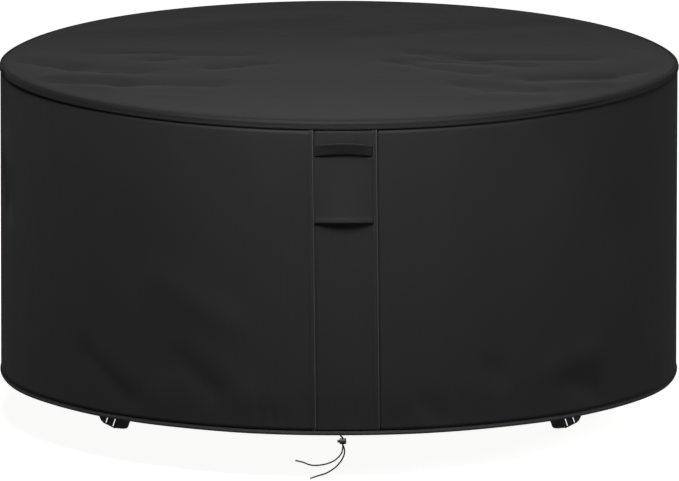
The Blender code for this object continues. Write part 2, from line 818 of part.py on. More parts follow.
def make_buckle_half(name, side, placing, collection, cutters):
    """Make half of a closed buckle; side is 1 for the socket and -1 for the plug."""
    outer_end = BUCKLE_SPAN / 2 + BUCKLE_BAR / 2
    body_end = BUCKLE_SPAN / 2 - BUCKLE_BAR / 2 - BUCKLE_SLOT
    split = BUCKLE_SPLIT + (SEWN_GAP if side > 0 else 0.0)

    def block(label, start, end, thickness, width, owner):
        size = (abs(end - start), thickness, width)
        shape = box_shape(size, ((start + end) / 2, 0, 0))
        finish = "moulded_plastic" if owner is collection else None
        return add_object(label, shape, finish, owner, placing)

    half = block(name, split, side * outer_end, BUCKLE_FRAME_THICKNESS, BUCKLE_WIDTH, collection)
    body = block(
        "body of " + name,
        split,
        side * body_end,
        BUCKLE_BODY_THICKNESS,
        BUCKLE_WIDTH - 2 * BUCKLE_SHOULDER,
        cutters,
    )
    slot = block(
        "slot of " + name,
        side * body_end,
        side * (body_end + BUCKLE_SLOT),
        2 * BUCKLE_BODY_THICKNESS,
        BUCKLE_SLOT_WIDTH,
        cutters,
    )
    add_bevel(body, 0.0010, 1)
    join(half, body)
    cut(half, slot)
    if side > 0:
        mouth = block(
            "mouth of " + name,
            split - SEWN_GAP,
            BUCKLE_SPLIT + TONGUE_LENGTH + SEWN_GAP,
            TONGUE_THICKNESS + 2 * SEWN_GAP,
            TONGUE_WIDTH + 2 * SEWN_GAP,
            cutters,
        )
        cut(half, mouth)
        hide_cutter(mouth)
    else:
        tongue = block(
            "tongue of " + name,
            BUCKLE_SPLIT - SEWN_GAP,
            BUCKLE_SPLIT + TONGUE_LENGTH,
            TONGUE_THICKNESS,
            TONGUE_WIDTH,
            cutters,
        )
        join(half, tongue)
        hide_cutter(tongue)
    hide_cutter(body)
    hide_cutter(slot)
    smooth(half, 35)


def make_leg_strap(side_name, collection, cutters):
    """Make one leg strap: its webbing and the two halves of its closed buckle."""
    placing = strap_frame(side_name)
    buckle = placing @ buckle_frame()
    make_webbing(side_name, placing, collection)
    for half_name, side in (("socket", 1), ("plug", -1)):
        name = "buckle_" + side_name + "_" + half_name
        make_buckle_half(name, side, buckle, collection, cutters)


def main():
    clear_scene()
    collection = new_collection("patio_furniture_cover")
    cutters = new_collection("cutters")
    make_top_panel(collection)
    make_rim_binding(collection)
    make_wall_panel(collection)
    make_front_strip(collection)
    make_seam_welt("seam_welt_left", -1, collection)
    make_seam_welt("seam_welt_right", 1, collection)
    make_hem_casing(collection)
    make_handle(collection)
    make_vent_flap(collection)
    make_drawcord(collection)
    make_cord_lock(collection, cutters)
    for side_name in STRAP_ANGLE:
        make_leg_strap(side_name, collection, cutters)


main()
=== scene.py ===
"""Dressed model of a round fitted outdoor cover, as it hangs in use.

Metres, +Z up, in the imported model's own frame: the origin is under the middle of the
top and the front faces -Y. An arc is measured along the wall from the front's middle,
growing towards +X. Each cloth piece has a UV map in metres, called "lay", so that its
threads follow the cloth and not the room.
"""

from __future__ import annotations

import json
import logging
import math
from collections.abc import Callable, Sequence
from dataclasses import dataclass
from enum import Enum

import bmesh
import bpy
from mathutils import Matrix, Vector

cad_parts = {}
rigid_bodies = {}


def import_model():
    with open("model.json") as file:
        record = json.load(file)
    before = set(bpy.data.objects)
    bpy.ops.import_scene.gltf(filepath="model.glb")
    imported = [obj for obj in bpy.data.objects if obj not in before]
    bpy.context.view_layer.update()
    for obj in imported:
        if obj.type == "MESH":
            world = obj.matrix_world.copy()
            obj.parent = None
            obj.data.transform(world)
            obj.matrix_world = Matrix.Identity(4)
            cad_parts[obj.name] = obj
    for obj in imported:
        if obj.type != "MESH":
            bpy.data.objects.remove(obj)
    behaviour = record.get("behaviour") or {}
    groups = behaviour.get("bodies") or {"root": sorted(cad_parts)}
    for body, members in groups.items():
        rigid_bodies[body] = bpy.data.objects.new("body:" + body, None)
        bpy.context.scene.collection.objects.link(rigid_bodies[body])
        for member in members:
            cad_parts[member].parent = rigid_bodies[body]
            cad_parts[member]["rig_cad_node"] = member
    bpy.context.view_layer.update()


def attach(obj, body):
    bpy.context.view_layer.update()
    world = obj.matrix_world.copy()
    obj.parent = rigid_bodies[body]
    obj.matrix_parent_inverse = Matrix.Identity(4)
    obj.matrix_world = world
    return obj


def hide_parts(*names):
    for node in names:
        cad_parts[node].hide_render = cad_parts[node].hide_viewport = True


LOG = logging.getLogger("patio_cover")

LAY_MAP = "lay"

# Steps of the fine curve between two of a route's points.
CURVE_STEPS = 24
# A wave texture takes the sine of this many times its scaled coordinate.
WAVE_FACTOR = 20
# Points of a grid that fall closer together than this are merged.
WELD_REACH = 0.00001
# A tube's tip: its length as a share of the diameter, and at its shoulder the share of
# that length and of the tube's width.
TIP_LENGTH = 0.35
TIP_SHOULDER = 0.7
TIP_SHOULDER_WIDTH = 0.72

Placer = Callable[[float, float], Vector]
Layout = Callable[[float, float], tuple[float, float]]


class Side(Enum):
    """A side of the cover, seen from its front."""

    LEFT = "left"
    RIGHT = "right"


class CordEnd(Enum):
    """A free end of the drawcord, by its place in the lock."""

    FRONT = "front"
    BACK = "back"


# ---------------------------------------------------------------- small tools
def linear(colour: str) -> tuple[float, float, float, float]:
    """Turn an sRGB hex colour into the linear colour that a shader takes.

    Args:
        colour: Six hex digits after a hash.

    Returns:
        Red, green, blue and full opacity.
    """
    parts = [int(colour[place : place + 2], 16) / 255 for place in (1, 3, 5)]
    curved = [part / 12.92 if part <= 0.04045 else ((part + 0.055) / 1.055) ** 2.4 for part in parts]
    return (curved[0], curved[1], curved[2], 1.0)


def mix(start: float, end: float, amount: float) -> float:
    """Return the value between start and end, for an amount of 0 to 1."""
    return start + (end - start) * amount


def ease(value: float, low: float, high: float) -> float:
    """Rise smoothly from 0 at low to 1 at high."""
    amount = min(max((value - low) / (high - low), 0.0), 1.0)
    return amount * amount * (3 - 2 * amount)


def smooth_line(points: Sequence[Vector], spacing: float) -> list[Vector]:
    """Run an evenly spaced smooth curve through route points.

    Args:
        points: The route's points, in order.
        spacing: About how far apart the new points lie.

    Returns:
        Points of a Catmull-Rom curve, the route's two ends among them.
    """
    padded = [2 * points[0] - points[1], *points, 2 * points[-1] - points[-2]]
    fine: list[Vector] = []
    for before, start, end, after in zip(padded, padded[1:], padded[2:], padded[3:]):
        for step in range(CURVE_STEPS):
            t = step / CURVE_STEPS
            square = t * t
            cube = square * t
            point = 2 * start + (end - before) * t
            point = point + (2 * before - 5 * start + 4 * end - after) * square
            point = point + (3 * start - before - 3 * end + after) * cube
            fine.append(0.5 * point)
    fine.append(points[-1].copy())
    length = line_length(fine)
    step_length = length / round(length / spacing)
    line = [fine[0]]
    walked = 0.0
    for first, second in zip(fine, fine[1:]):
        walked += (second - first).length
        if walked >= step_length:
            line.append(second)
            walked -= step_length
    line[-1] = fine[-1]
    return line


def line_length(points: Sequence[Vector]) -> float:
    """Return the length of a line through points."""
    return sum((second - first).length for first, second in zip(points, points[1:]))


# ---------------------------------------------------------------- materials
def add_node(tree: bpy.types.NodeTree, kind: str, inputs: dict | None = None, **settings) -> bpy.types.Node:
    """Add a node with its settings, socket values and links.

    Args:
        tree: The node tree.
        kind: The node's type.
        inputs: By socket name or number, either a value or the output socket to link.
        **settings: Values of the node's own properties.

    Returns:
        The new node.
    """
    made = tree.nodes.new(kind)
    for name, value in settings.items():
        setattr(made, name, value)
    for place, value in (inputs or {}).items():
        if isinstance(value, bpy.types.NodeSocket):
            tree.links.new(value, made.inputs[place])
        else:
            made.inputs[place].default_value = value
    return made


def wave_scale(period: float) -> float:
    """Return the scale at which a wave texture repeats once in a period, in metres."""
    return 2 * math.pi / WAVE_FACTOR / period


@dataclass(frozen=True, kw_only=True)
class Finish:
    """A finish of one real material, built as a node material.

    Each kind of finish adds its own relief and colour in dress().
    """

    name: str
    colour: str
    roughness: float
    specular: float
    sheen: float = 0.0
    ior: float = 1.45

    def build(self) -> bpy.types.Material:
        """Make the finish's material, once.

        Returns:
            The material.
        """
        made = bpy.data.materials.get(self.name)
        if made is None:
            made = bpy.data.materials.new(self.name)
            made.use_nodes = True
            tree = made.node_tree
            shader = tree.nodes["Principled BSDF"]
            shader.inputs["Base Color"].default_value = linear(self.colour)
            shader.inputs["Roughness"].default_value = self.roughness
            shader.inputs["IOR"].default_value = self.ior
            shader.inputs["Specular IOR Level"].default_value = self.specular
            shader.inputs["Sheen Weight"].default_value = self.sheen
            self.dress(tree, shader)
        return made

    def dress(self, tree: bpy.types.NodeTree, shader: bpy.types.Node) -> None:
        """Add the finish's pattern; a plain finish has none."""


@dataclass(frozen=True, kw_only=True)
class CoatedCloth(Finish):
    """Solution-dyed polyester in plain weave, coated inside.

    It looks almost smooth and slightly satin, with a dry grain and soft crumples left
    by folding.
    """

    colour: str = "#222223"
    faded: str = "#28282a"
    fading: float = 0.160
    roughness: float = 0.62
    unevenness: float = 0.05
    specular: float = 0.30
    sheen: float = 0.08
    thread: float
    thread_depth: float = 0.0003
    grain: float = 0.004
    grain_depth: float = 0.0004
    crumple: float
    crumple_depth: float
    upright: float

    def dress(self, tree: bpy.types.NodeTree, shader: bpy.types.Node) -> None:
        """Add the weave, the grain, the crumples and the uneven tone.

        Args:
            tree: The material's nodes.
            shader: Its surface shader.
        """
        lay = add_node(tree, "ShaderNodeUVMap", uv_map=LAY_MAP).outputs["UV"]
        long_lay = add_node(
            tree, "ShaderNodeMapping", {"Vector": lay, "Scale": (1.0, self.upright, 1.0)}
        ).outputs["Vector"]

        tone = add_node(
            tree,
            "ShaderNodeTexNoise",
            {"Vector": long_lay, "Scale": 1 / self.fading, "Detail": 3.0, "Roughness": 0.55},
        )
        colour = add_node(
            tree,
            "ShaderNodeMix",
            {"Factor": tone.outputs["Fac"], 6: linear(self.colour), 7: linear(self.faded)},
            data_type="RGBA",
        )
        tree.links.new(colour.outputs[2], shader.inputs["Base Color"])

        warp, weft = (
            add_node(
                tree,
                "ShaderNodeTexWave",
                {"Vector": lay, "Scale": wave_scale(self.thread)},
                bands_direction=across,
            ).outputs["Fac"]
            for across in ("X", "Y")
        )
        weave = add_node(tree, "ShaderNodeMath", {0: warp, 1: weft}, operation="MULTIPLY")
        grain = add_node(
            tree,
            "ShaderNodeTexNoise",
            {"Vector": lay, "Scale": 1 / self.grain, "Detail": 2.0, "Roughness": 0.6},
        )
        crumples = add_node(
            tree,
            "ShaderNodeTexNoise",
            {
                "Vector": long_lay,
                "Scale": 1 / self.crumple,
                "Detail": 2.5,
                "Roughness": 0.5,
                "Distortion": 0.6,
            },
        )
        soft = add_node(
            tree,
            "ShaderNodeBump",
            {"Height": crumples.outputs["Fac"], "Strength": 1.0, "Distance": self.crumple_depth},
        )
        dry = add_node(
            tree,
            "ShaderNodeBump",
            {
                "Height": grain.outputs["Fac"],
                "Strength": 0.5,
                "Distance": self.grain_depth,
                "Normal": soft.outputs["Normal"],
            },
        )
        threads = add_node(
            tree,
            "ShaderNodeBump",
            {
                "Height": weave.outputs[0],
                "Strength": 0.35,
                "Distance": self.thread_depth,
                "Normal": dry.outputs["Normal"],
            },
        )
        tree.links.new(threads.outputs["Normal"], shader.inputs["Normal"])

        dulled = add_node(
            tree,
            "ShaderNodeMapRange",
            {
                "Value": grain.outputs["Fac"],
                "From Min": 0.3,
                "From Max": 0.7,
                "To Min": self.roughness - self.unevenness,
                "To Max": self.roughness + self.unevenness,
            },
        )
        tree.links.new(dulled.outputs["Result"], shader.inputs["Roughness"])


@dataclass(frozen=True, kw_only=True)
class RibbedTape(Finish):
    """Woven narrow tape or webbing, with ribs across its length.

    The ribs give it a duller, more regular look than the cloth beside it.
    """

    worn: str
    rib: float = 0.0016
    rib_depth: float = 0.0003
    thread_rows: float = 2.2
    fuzz: float = 0.003

    def dress(self, tree: bpy.types.NodeTree, shader: bpy.types.Node) -> None:
        """Add the ribs, the fuzz between them and the paler worn threads.

        Args:
            tree: The material's nodes.
            shader: Its surface shader.
        """
        lay = add_node(tree, "ShaderNodeUVMap", uv_map=LAY_MAP).outputs["UV"]
        ribs = add_node(
            tree,
            "ShaderNodeTexWave",
            {"Vector": lay, "Scale": wave_scale(self.rib), "Distortion": 0.4, "Detail": 1.0},
            bands_direction="X",
        )
        edges = add_node(
            tree,
            "ShaderNodeTexWave",
            {"Vector": lay, "Scale": wave_scale(self.thread_rows * self.rib)},
            bands_direction="Y",
        )
        fuzz = add_node(
            tree,
            "ShaderNodeTexNoise",
            {"Vector": lay, "Scale": 1 / self.fuzz, "Detail": 2.0, "Roughness": 0.6},
        )
        woven = add_node(
            tree,
            "ShaderNodeMath",
            {0: ribs.outputs["Fac"], 1: 0.75, 2: edges.outputs["Fac"]},
            operation="MULTIPLY_ADD",
        )
        relief = add_node(
            tree,
            "ShaderNodeBump",
            {"Height": woven.outputs[0], "Strength": 0.6, "Distance": self.rib_depth},
        )
        soft = add_node(
            tree,
            "ShaderNodeBump",
            {
                "Height": fuzz.outputs["Fac"],
                "Strength": 0.4,
                "Distance": self.rib_depth,
                "Normal": relief.outputs["Normal"],
            },
        )
        tree.links.new(soft.outputs["Normal"], shader.inputs["Normal"])
        colour = add_node(
            tree,
            "ShaderNodeMix",
            {"Factor": fuzz.outputs["Fac"], 6: linear(self.colour), 7: linear(self.worn)},
            data_type="RGBA",
        )
        tree.links.new(colour.outputs[2], shader.inputs["Base Color"])


@dataclass(frozen=True, kw_only=True)
class FoldedTape(RibbedTape):
    """Tape with one folded edge, over which a band of painted light lies: a painted highlight where the band
    is paler, painted shade where it is darker.
    """

    # The fold's colour is painted light: paler for a highlight, darker for shade.
    fold: str
    fold_place: float
    fold_reach: float
    fold_blur: float = 0.4

    def dress(self, tree: bpy.types.NodeTree, shader: bpy.types.Node) -> None:
        """Add the tape's weave and the band of painted light over the fold, a highlight where its colour is
        paler and shade where it is darker.

        Args:
            tree: The material's nodes.
            shader: Its surface shader.
        """
        super().dress(tree, shader)
        woven = shader.inputs["Base Color"].links[0].from_socket
        lay = add_node(tree, "ShaderNodeUVMap", uv_map=LAY_MAP).outputs["UV"]
        across = add_node(tree, "ShaderNodeSeparateXYZ", {"Vector": lay}).outputs["Y"]
        away = add_node(tree, "ShaderNodeMath", {0: across, 1: self.fold_place}, operation="SUBTRACT")
        distance = add_node(tree, "ShaderNodeMath", {0: away.outputs[0]}, operation="ABSOLUTE")
        # The band over the fold is painted light: its colour stands in for the light or shade that falls
        # there.
        folded = add_node(
            tree,
            "ShaderNodeMapRange",
            {
                "Value": distance.outputs[0],
                "From Min": (1 - self.fold_blur) * self.fold_reach,
                "From Max": (1 + self.fold_blur) * self.fold_reach,
                "To Min": 1.0,
                "To Max": 0.0,
            },
        )
        colour = add_node(
            tree,
            "ShaderNodeMix",
            {"Factor": folded.outputs["Result"], 6: woven, 7: linear(self.fold)},
            data_type="RGBA",
        )
        tree.links.new(colour.outputs[2], shader.inputs["Base Color"])


@dataclass(frozen=True, kw_only=True)
class Braid(Finish):
    """Braided polyester cord: two sets of strands that cross around a core."""

    worn: str
    strand: float
    strand_depth: float = 0.0003

    def dress(self, tree: bpy.types.NodeTree, shader: bpy.types.Node) -> None:
        """Add the crossing strands as relief and tone.

        Args:
            tree: The material's nodes.
            shader: Its surface shader.
        """
        lay = add_node(tree, "ShaderNodeUVMap", uv_map=LAY_MAP).outputs["UV"]
        strands = []
        for turn in (45, -45):
            turned = add_node(
                tree, "ShaderNodeMapping", {"Vector": lay, "Rotation": (0.0, 0.0, math.radians(turn))}
            )
            strand = add_node(
                tree,
                "ShaderNodeTexWave",
                {"Vector": turned.outputs["Vector"], "Scale": wave_scale(self.strand)},
                bands_direction="X",
            )
            strands.append(strand.outputs["Fac"])
        crossed = add_node(tree, "ShaderNodeMath", {0: strands[0], 1: strands[1]}, operation="MAXIMUM")
        relief = add_node(
            tree,
            "ShaderNodeBump",
            {"Height": crossed.outputs[0], "Strength": 0.7, "Distance": self.strand_depth},
        )
        tree.links.new(relief.outputs["Normal"], shader.inputs["Normal"])
        colour = add_node(
            tree,
            "ShaderNodeMix",
            {"Factor": crossed.outputs[0], 6: linear(self.colour), 7: linear(self.worn)},
            data_type="RGBA",
        )
        tree.links.new(colour.outputs[2], shader.inputs["Base Color"])


@dataclass(frozen=True, kw_only=True)
class MouldedPlastic(Finish):
    """Injection-moulded acetal: smooth and glossy, with a faint ripple of the mould."""

    scuffed: float
    scuff: float = 0.006
    ripple: float = 0.0012
    ripple_depth: float = 0.0001

    def dress(self, tree: bpy.types.NodeTree, shader: bpy.types.Node) -> None:
        """Add the mould's ripple and handling scuffs.

        Args:
            tree: The material's nodes.
            shader: Its surface shader.
        """
        place = add_node(tree, "ShaderNodeTexCoord").outputs["Object"]
        ripple = add_node(
            tree, "ShaderNodeTexNoise", {"Vector": place, "Scale": 1 / self.ripple, "Detail": 2.0}
        )
        relief = add_node(
            tree,
            "ShaderNodeBump",
            {"Height": ripple.outputs["Fac"], "Strength": 0.25, "Distance": self.ripple_depth},
        )
        tree.links.new(relief.outputs["Normal"], shader.inputs["Normal"])
        scuffs = add_node(
            tree,
            "ShaderNodeTexNoise",
            {"Vector": place, "Scale": 1 / self.scuff, "Detail": 4.0, "Roughness": 0.7},
        )
        dulled = add_node(
            tree,
            "ShaderNodeMapRange",
            {
                "Value": scuffs.outputs["Fac"],
                "From Min": 0.35,
                "From Max": 0.70,
                "To Min": self.roughness,
                "To Max": self.scuffed,
            },
        )
        tree.links.new(dulled.outputs["Result"], shader.inputs["Roughness"])


@dataclass(frozen=True, kw_only=True)
class StudioPaper(Finish):
    """Matt pale paper on a light table, which glows from below."""

    glow: float
    patches_per_metre: float = 3.0
    smoothest: float = 0.86
    roughest: float = 0.96

    def dress(self, tree: bpy.types.NodeTree, shader: bpy.types.Node) -> None:
        """Add the glow and a very faint mottling, which keeps the floor from looking flat.

        Args:
            tree: The material's nodes.
            shader: Its surface shader.
        """
        shader.inputs["Emission Color"].default_value = linear(self.colour)
        shader.inputs["Emission Strength"].default_value = self.glow
        place = add_node(tree, "ShaderNodeTexCoord").outputs["Object"]
        mottle = add_node(
            tree, "ShaderNodeTexNoise", {"Vector": place, "Scale": self.patches_per_metre, "Detail": 2.0}
        )
        dulled = add_node(
            tree,
            "ShaderNodeMapRange",
            {"Value": mottle.outputs["Fac"], "To Min": self.smoothest, "To Max": self.roughest},
        )
        tree.links.new(dulled.outputs["Result"], shader.inputs["Roughness"])


class Finishes(Enum):
    """The cover's finishes. Patterns are sized in metres, by one repeat."""

    # The real thread is 0.4 mm, too fine to show: it is drawn four times as coarse.
    TOP_CLOTH = CoatedCloth(
        name="top_coated_polyester", thread=0.0016, crumple=0.045, crumple_depth=0.0011, upright=1.0
    )
    # On the wall the crumples are drawn out upwards by the cloth's own weight.
    WALL_CLOTH = CoatedCloth(
        name="wall_coated_polyester", thread=0.0016, crumple=0.060, crumple_depth=0.0013, upright=0.35
    )
    # Ribs of tape and webbing are drawn coarser than the real ones, so that they show.
    # The binding is the darkest of the tapes, a plain dull line round the rim.
    SEAM_TAPE = RibbedTape(
        name="ribbed_rim_tape",
        colour="#18181a",
        worn="#1f1f20",
        roughness=0.64,
        specular=0.24,
        sheen=0.05,
        rib=0.0015,
    )
    # The welt's folded edge is painted pale, a painted highlight along its crown, and the hem's stitched lip
    # is painted dark, painted shade where the wall tucks into the casing.
    WELT_TAPE = FoldedTape(
        name="folded_welt_tape",
        colour="#242425",
        worn="#2b2b2c",
        roughness=0.62,
        specular=0.30,
        sheen=0.06,
        rib=0.0015,
        # A painted highlight: the pale tone along the folded edge's crown, where the light catches it.
        fold="#4c4c4e",
        fold_place=0.0122,
        fold_reach=0.0019,
    )
    HEM_TAPE = FoldedTape(
        name="ribbed_hem_tape",
        colour="#343435",
        worn="#3e3e3f",
        roughness=0.58,
        specular=0.30,
        sheen=0.06,
        # Painted shade: the dark tone along the stitched lip, where the wall tucks into the casing.
        fold="#151516",
        fold_place=0.0098,
        fold_reach=0.0042,
    )
    # The straps' webbing is painted paler, painted light that makes up for the shade it hangs in under the
    # hem; the handle's is deep black and dull.
    WEBBING = RibbedTape(
        name="polyester_webbing",
        colour="#3e3e41",
        worn="#4a4a4d",
        roughness=0.66,
        specular=0.30,
        sheen=0.08,
        rib_depth=0.0005,
    )
    HANDLE = RibbedTape(
        name="handle_webbing",
        colour="#1a1a1b",
        worn="#212122",
        roughness=0.72,
        specular=0.20,
        sheen=0.04,
        rib_depth=0.0005,
    )
    # Twisted polyester thread, which shows a shade lighter than what it sews.
    THREAD = Finish(name="sewing_thread", colour="#2a2a2b", roughness=0.62, specular=0.30, sheen=0.06)
    # Braided cord: black and dry, without a gleam. Its strands are drawn coarse as well.
    CORD = Braid(
        name="braided_cord",
        colour="#0b0b0c",
        worn="#161617",
        roughness=0.70,
        specular=0.15,
        sheen=0.03,
        strand=0.0015,
    )
    # Moulded acetal: the one glossy, slightly bluish material of the cover. Its grey is painted lighter,
    # painted light that makes up for the shade where the lock and buckles hang under the hem.
    PLASTIC = MouldedPlastic(
        name="moulded_acetal", colour="#34373e", roughness=0.30, specular=0.5, ior=1.48, scuffed=0.42
    )
    FLOOR = StudioPaper(name="studio_paper", colour="#f2f2f0", roughness=0.90, specular=0.20, glow=1.07)

    def material(self) -> bpy.types.Material:
        """Return the finish's material."""
        return self.value.build()


# ---------------------------------------------------------------- form of the cloth
@dataclass(frozen=True)
class Fold:
    """A soft straight fold: a ridge where its rise is above 0, a valley below it."""

    x1: float
    y1: float
    x2: float
    y2: float
    rise: float
    half_width: float

    def height(self, x: float, y: float) -> float:
        """Work out what the fold raises at a point.

        Args:
            x: The point's place across, or its arc on the wall.
            y: The point's place away, or its height on the wall.

        Returns:
            The rise, 0 where the fold doesn't reach.
        """
        run_x = self.x2 - self.x1
        run_y = self.y2 - self.y1
        along = ((x - self.x1) * run_x + (y - self.y1) * run_y) / (run_x * run_x + run_y * run_y)
        along = min(max(along, 0.0), 1.0)
        away = math.hypot(x - self.x1 - along * run_x, y - self.y1 - along * run_y) / self.half_width
        return self.rise * math.exp(-away * away) if away < 3 else 0.0


# Broad folds of the top, as the solids have them.
TOP_FOLDS = (
    Fold(-0.730, 0.010, -0.595, -0.115, -0.0050, 0.045),  # left valley
    Fold(-0.595, -0.115, -0.450, -0.185, -0.0050, 0.050),  # left valley end
    Fold(-0.665, -0.300, -0.480, -0.320, -0.0055, 0.045),  # left front valley
    Fold(-0.480, -0.320, -0.275, -0.350, -0.0045, 0.040),  # long front valley
    Fold(-0.640, -0.250, -0.520, -0.262, 0.0040, 0.040),  # left front ridge
    Fold(-0.610, -0.365, -0.540, -0.395, 0.0040, 0.035),  # left rim ridge
    Fold(-0.417, -0.010, -0.370, 0.015, -0.0040, 0.035),  # short left fold
    Fold(-0.550, 0.100, -0.225, 0.065, -0.0025, 0.040),  # faint left line
    Fold(-0.280, -0.135, -0.180, -0.070, -0.0035, 0.035),  # curved fold
    Fold(0.175, 0.100, 0.310, 0.015, -0.0040, 0.040),  # right back valley
    Fold(0.310, 0.015, 0.560, 0.000, -0.0040, 0.045),  # long right valley
    Fold(0.200, -0.010, 0.420, -0.100, -0.0040, 0.040),  # inner right valley
    Fold(0.125, -0.035, 0.310, -0.205, -0.0035, 0.035),  # short right fold
    Fold(0.430, -0.280, 0.590, -0.250, -0.0060, 0.045),  # right rim valley
    Fold(0.590, -0.250, 0.720, -0.120, -0.0055, 0.050),  # right rim valley end
    Fold(0.280, -0.350, 0.450, -0.420, -0.0050, 0.040),  # right front valley
    Fold(0.310, -0.490, 0.445, -0.500, 0.0040, 0.040),  # right front ridge
    Fold(0.540, -0.350, 0.665, -0.330, 0.0045, 0.040),  # right rim ridge
    Fold(-0.450, 0.400, -0.050, 0.560, 0.0030, 0.070),  # back left wave
    Fold(0.060, 0.330, 0.480, 0.480, -0.0030, 0.070),  # back right wave
)

# Creases that run in those folds or beside them.
TOP_CREASES = (
    Fold(-0.744, 0.012, -0.663, -0.069, -0.0016, 0.014),  # left crease start
    Fold(-0.663, -0.069, -0.525, -0.180, -0.0018, 0.014),  # left crease
    Fold(-0.525, -0.180, -0.449, -0.186, -0.0014, 0.014),  # left crease end
    Fold(-0.672, -0.310, -0.478, -0.320, -0.0018, 0.014),  # front crease
    Fold(-0.478, -0.320, -0.273, -0.356, -0.0016, 0.014),  # front crease end
    Fold(-0.412, -0.480, -0.329, -0.486, 0.0012, 0.016),  # front edge crease
    Fold(-0.417, -0.012, -0.372, 0.012, -0.0014, 0.012),  # short crease
    Fold(-0.550, 0.092, -0.386, 0.104, -0.0010, 0.014),  # faint crease
    Fold(-0.377, 0.069, -0.223, 0.058, -0.0010, 0.014),  # faint crease end
    Fold(-0.280, -0.144, -0.223, -0.104, -0.0014, 0.012),  # curved crease
    Fold(-0.223, -0.104, -0.176, -0.069, -0.0012, 0.012),  # curved crease end
    Fold(0.171, 0.092, 0.226, 0.023, -0.0014, 0.014),  # right crease start
    Fold(0.226, 0.023, 0.564, 0.000, -0.0016, 0.014),  # right crease
    Fold(0.196, -0.012, 0.329, -0.046, -0.0014, 0.013),  # inner crease
    Fold(0.329, -0.046, 0.419, -0.098, -0.0014, 0.013),  # inner crease end
    Fold(0.124, -0.035, 0.205, -0.138, -0.0014, 0.013),  # slanting crease
    Fold(0.205, -0.138, 0.309, -0.207, -0.0014, 0.013),  # slanting crease end
    Fold(0.431, -0.276, 0.613, -0.219, -0.0018, 0.015),  # rim crease
    Fold(0.613, -0.219, 0.742, -0.115, -0.0018, 0.015),  # rim crease end
    Fold(0.277, -0.345, 0.329, -0.425, -0.0014, 0.013),  # right front crease
    Fold(0.329, -0.425, 0.451, -0.403, -0.0016, 0.013),  # right front crease end
)

# Broad folds of the wall by arc and height, as the solids have them.
WALL_FOLDS = (
    Fold(-1.090, 0.020, -1.040, -0.110, -0.0030, 0.030),  # left end line
    Fold(-1.085, -0.226, -1.030, -0.300, -0.0045, 0.035),  # left end dent
    Fold(-1.050, -0.160, -1.000, -0.200, 0.0030, 0.040),  # left end bulge
    Fold(-0.640, -0.577, -0.515, -0.650, -0.0060, 0.045),  # left hem hollow
    Fold(-0.570, -0.560, -0.440, -0.640, 0.0035, 0.040),  # left hem ridge
    Fold(-0.365, -0.556, -0.285, -0.610, -0.0055, 0.040),  # middle hem hollow
    Fold(-0.300, -0.540, -0.215, -0.620, 0.0030, 0.040),  # middle hem ridge
    Fold(-0.425, -0.365, -0.255, -0.455, 0.0040, 0.045),  # light diagonal
    Fold(-0.560, -0.230, -0.500, -0.330, -0.0035, 0.060),  # left middle hollow
    Fold(0.560, -0.100, 0.700, -0.300, -0.0060, 0.110),  # right hollow
    Fold(0.560, -0.615, 0.645, -0.650, -0.0055, 0.040),  # right hem hollow
    Fold(0.520, -0.590, 0.640, -0.565, 0.0040, 0.035),  # right hem ridge
    Fold(0.362, -0.570, 0.375, -0.590, -0.0035, 0.030),  # right dimple
    Fold(0.195, -0.635, 0.225, -0.665, -0.0030, 0.025),  # front right fold
    Fold(-1.700, -0.250, -1.750, -0.690, -0.0070, 0.060),  # back left fall
    Fold(1.620, -0.200, 1.680, -0.690, -0.0070, 0.060),  # back right fall
    Fold(2.250, -0.350, 2.270, -0.690, 0.0060, 0.070),  # back middle fall
)

# Creases of the wall beside the seams and above the hem.
WALL_CREASES = (
    Fold(-0.630, -0.575, -0.510, -0.655, -0.0016, 0.016),  # left hem crease
    Fold(-0.360, -0.556, -0.285, -0.612, -0.0016, 0.015),  # middle hem crease
    Fold(0.565, -0.625, 0.645, -0.652, -0.0016, 0.016),  # right hem crease
    Fold(-1.085, -0.226, -1.040, -0.290, -0.0014, 0.014),  # end crease
    Fold(-0.178, -0.650, -0.172, -0.688, -0.0014, 0.011),  # hem pucker one
    Fold(-0.150, -0.656, -0.147, -0.688, -0.0014, 0.011),  # hem pucker two
    Fold(-0.121, -0.660, -0.120, -0.688, -0.0012, 0.010),  # hem pucker three
    Fold(0.118, -0.660, 0.115, -0.688, -0.0012, 0.010),  # hem pucker four
    Fold(0.151, -0.652, 0.145, -0.688, -0.0014, 0.011),  # hem pucker five
    Fold(2.000, -0.020, 1.900, -0.240, -0.0018, 0.020),  # back pull
    Fold(-2.050, -0.020, -1.980, -0.200, -0.0018, 0.020),  # back pull two
)


@dataclass(frozen=True)
class Wave:
    """A broad wave of the wall that grows from the rim to the hem."""

    lobes: int
    rise: float
    phase: float


WALL_WAVES = (Wave(5, 0.0012, math.radians(40)), Wave(13, 0.0012, math.radians(180)))


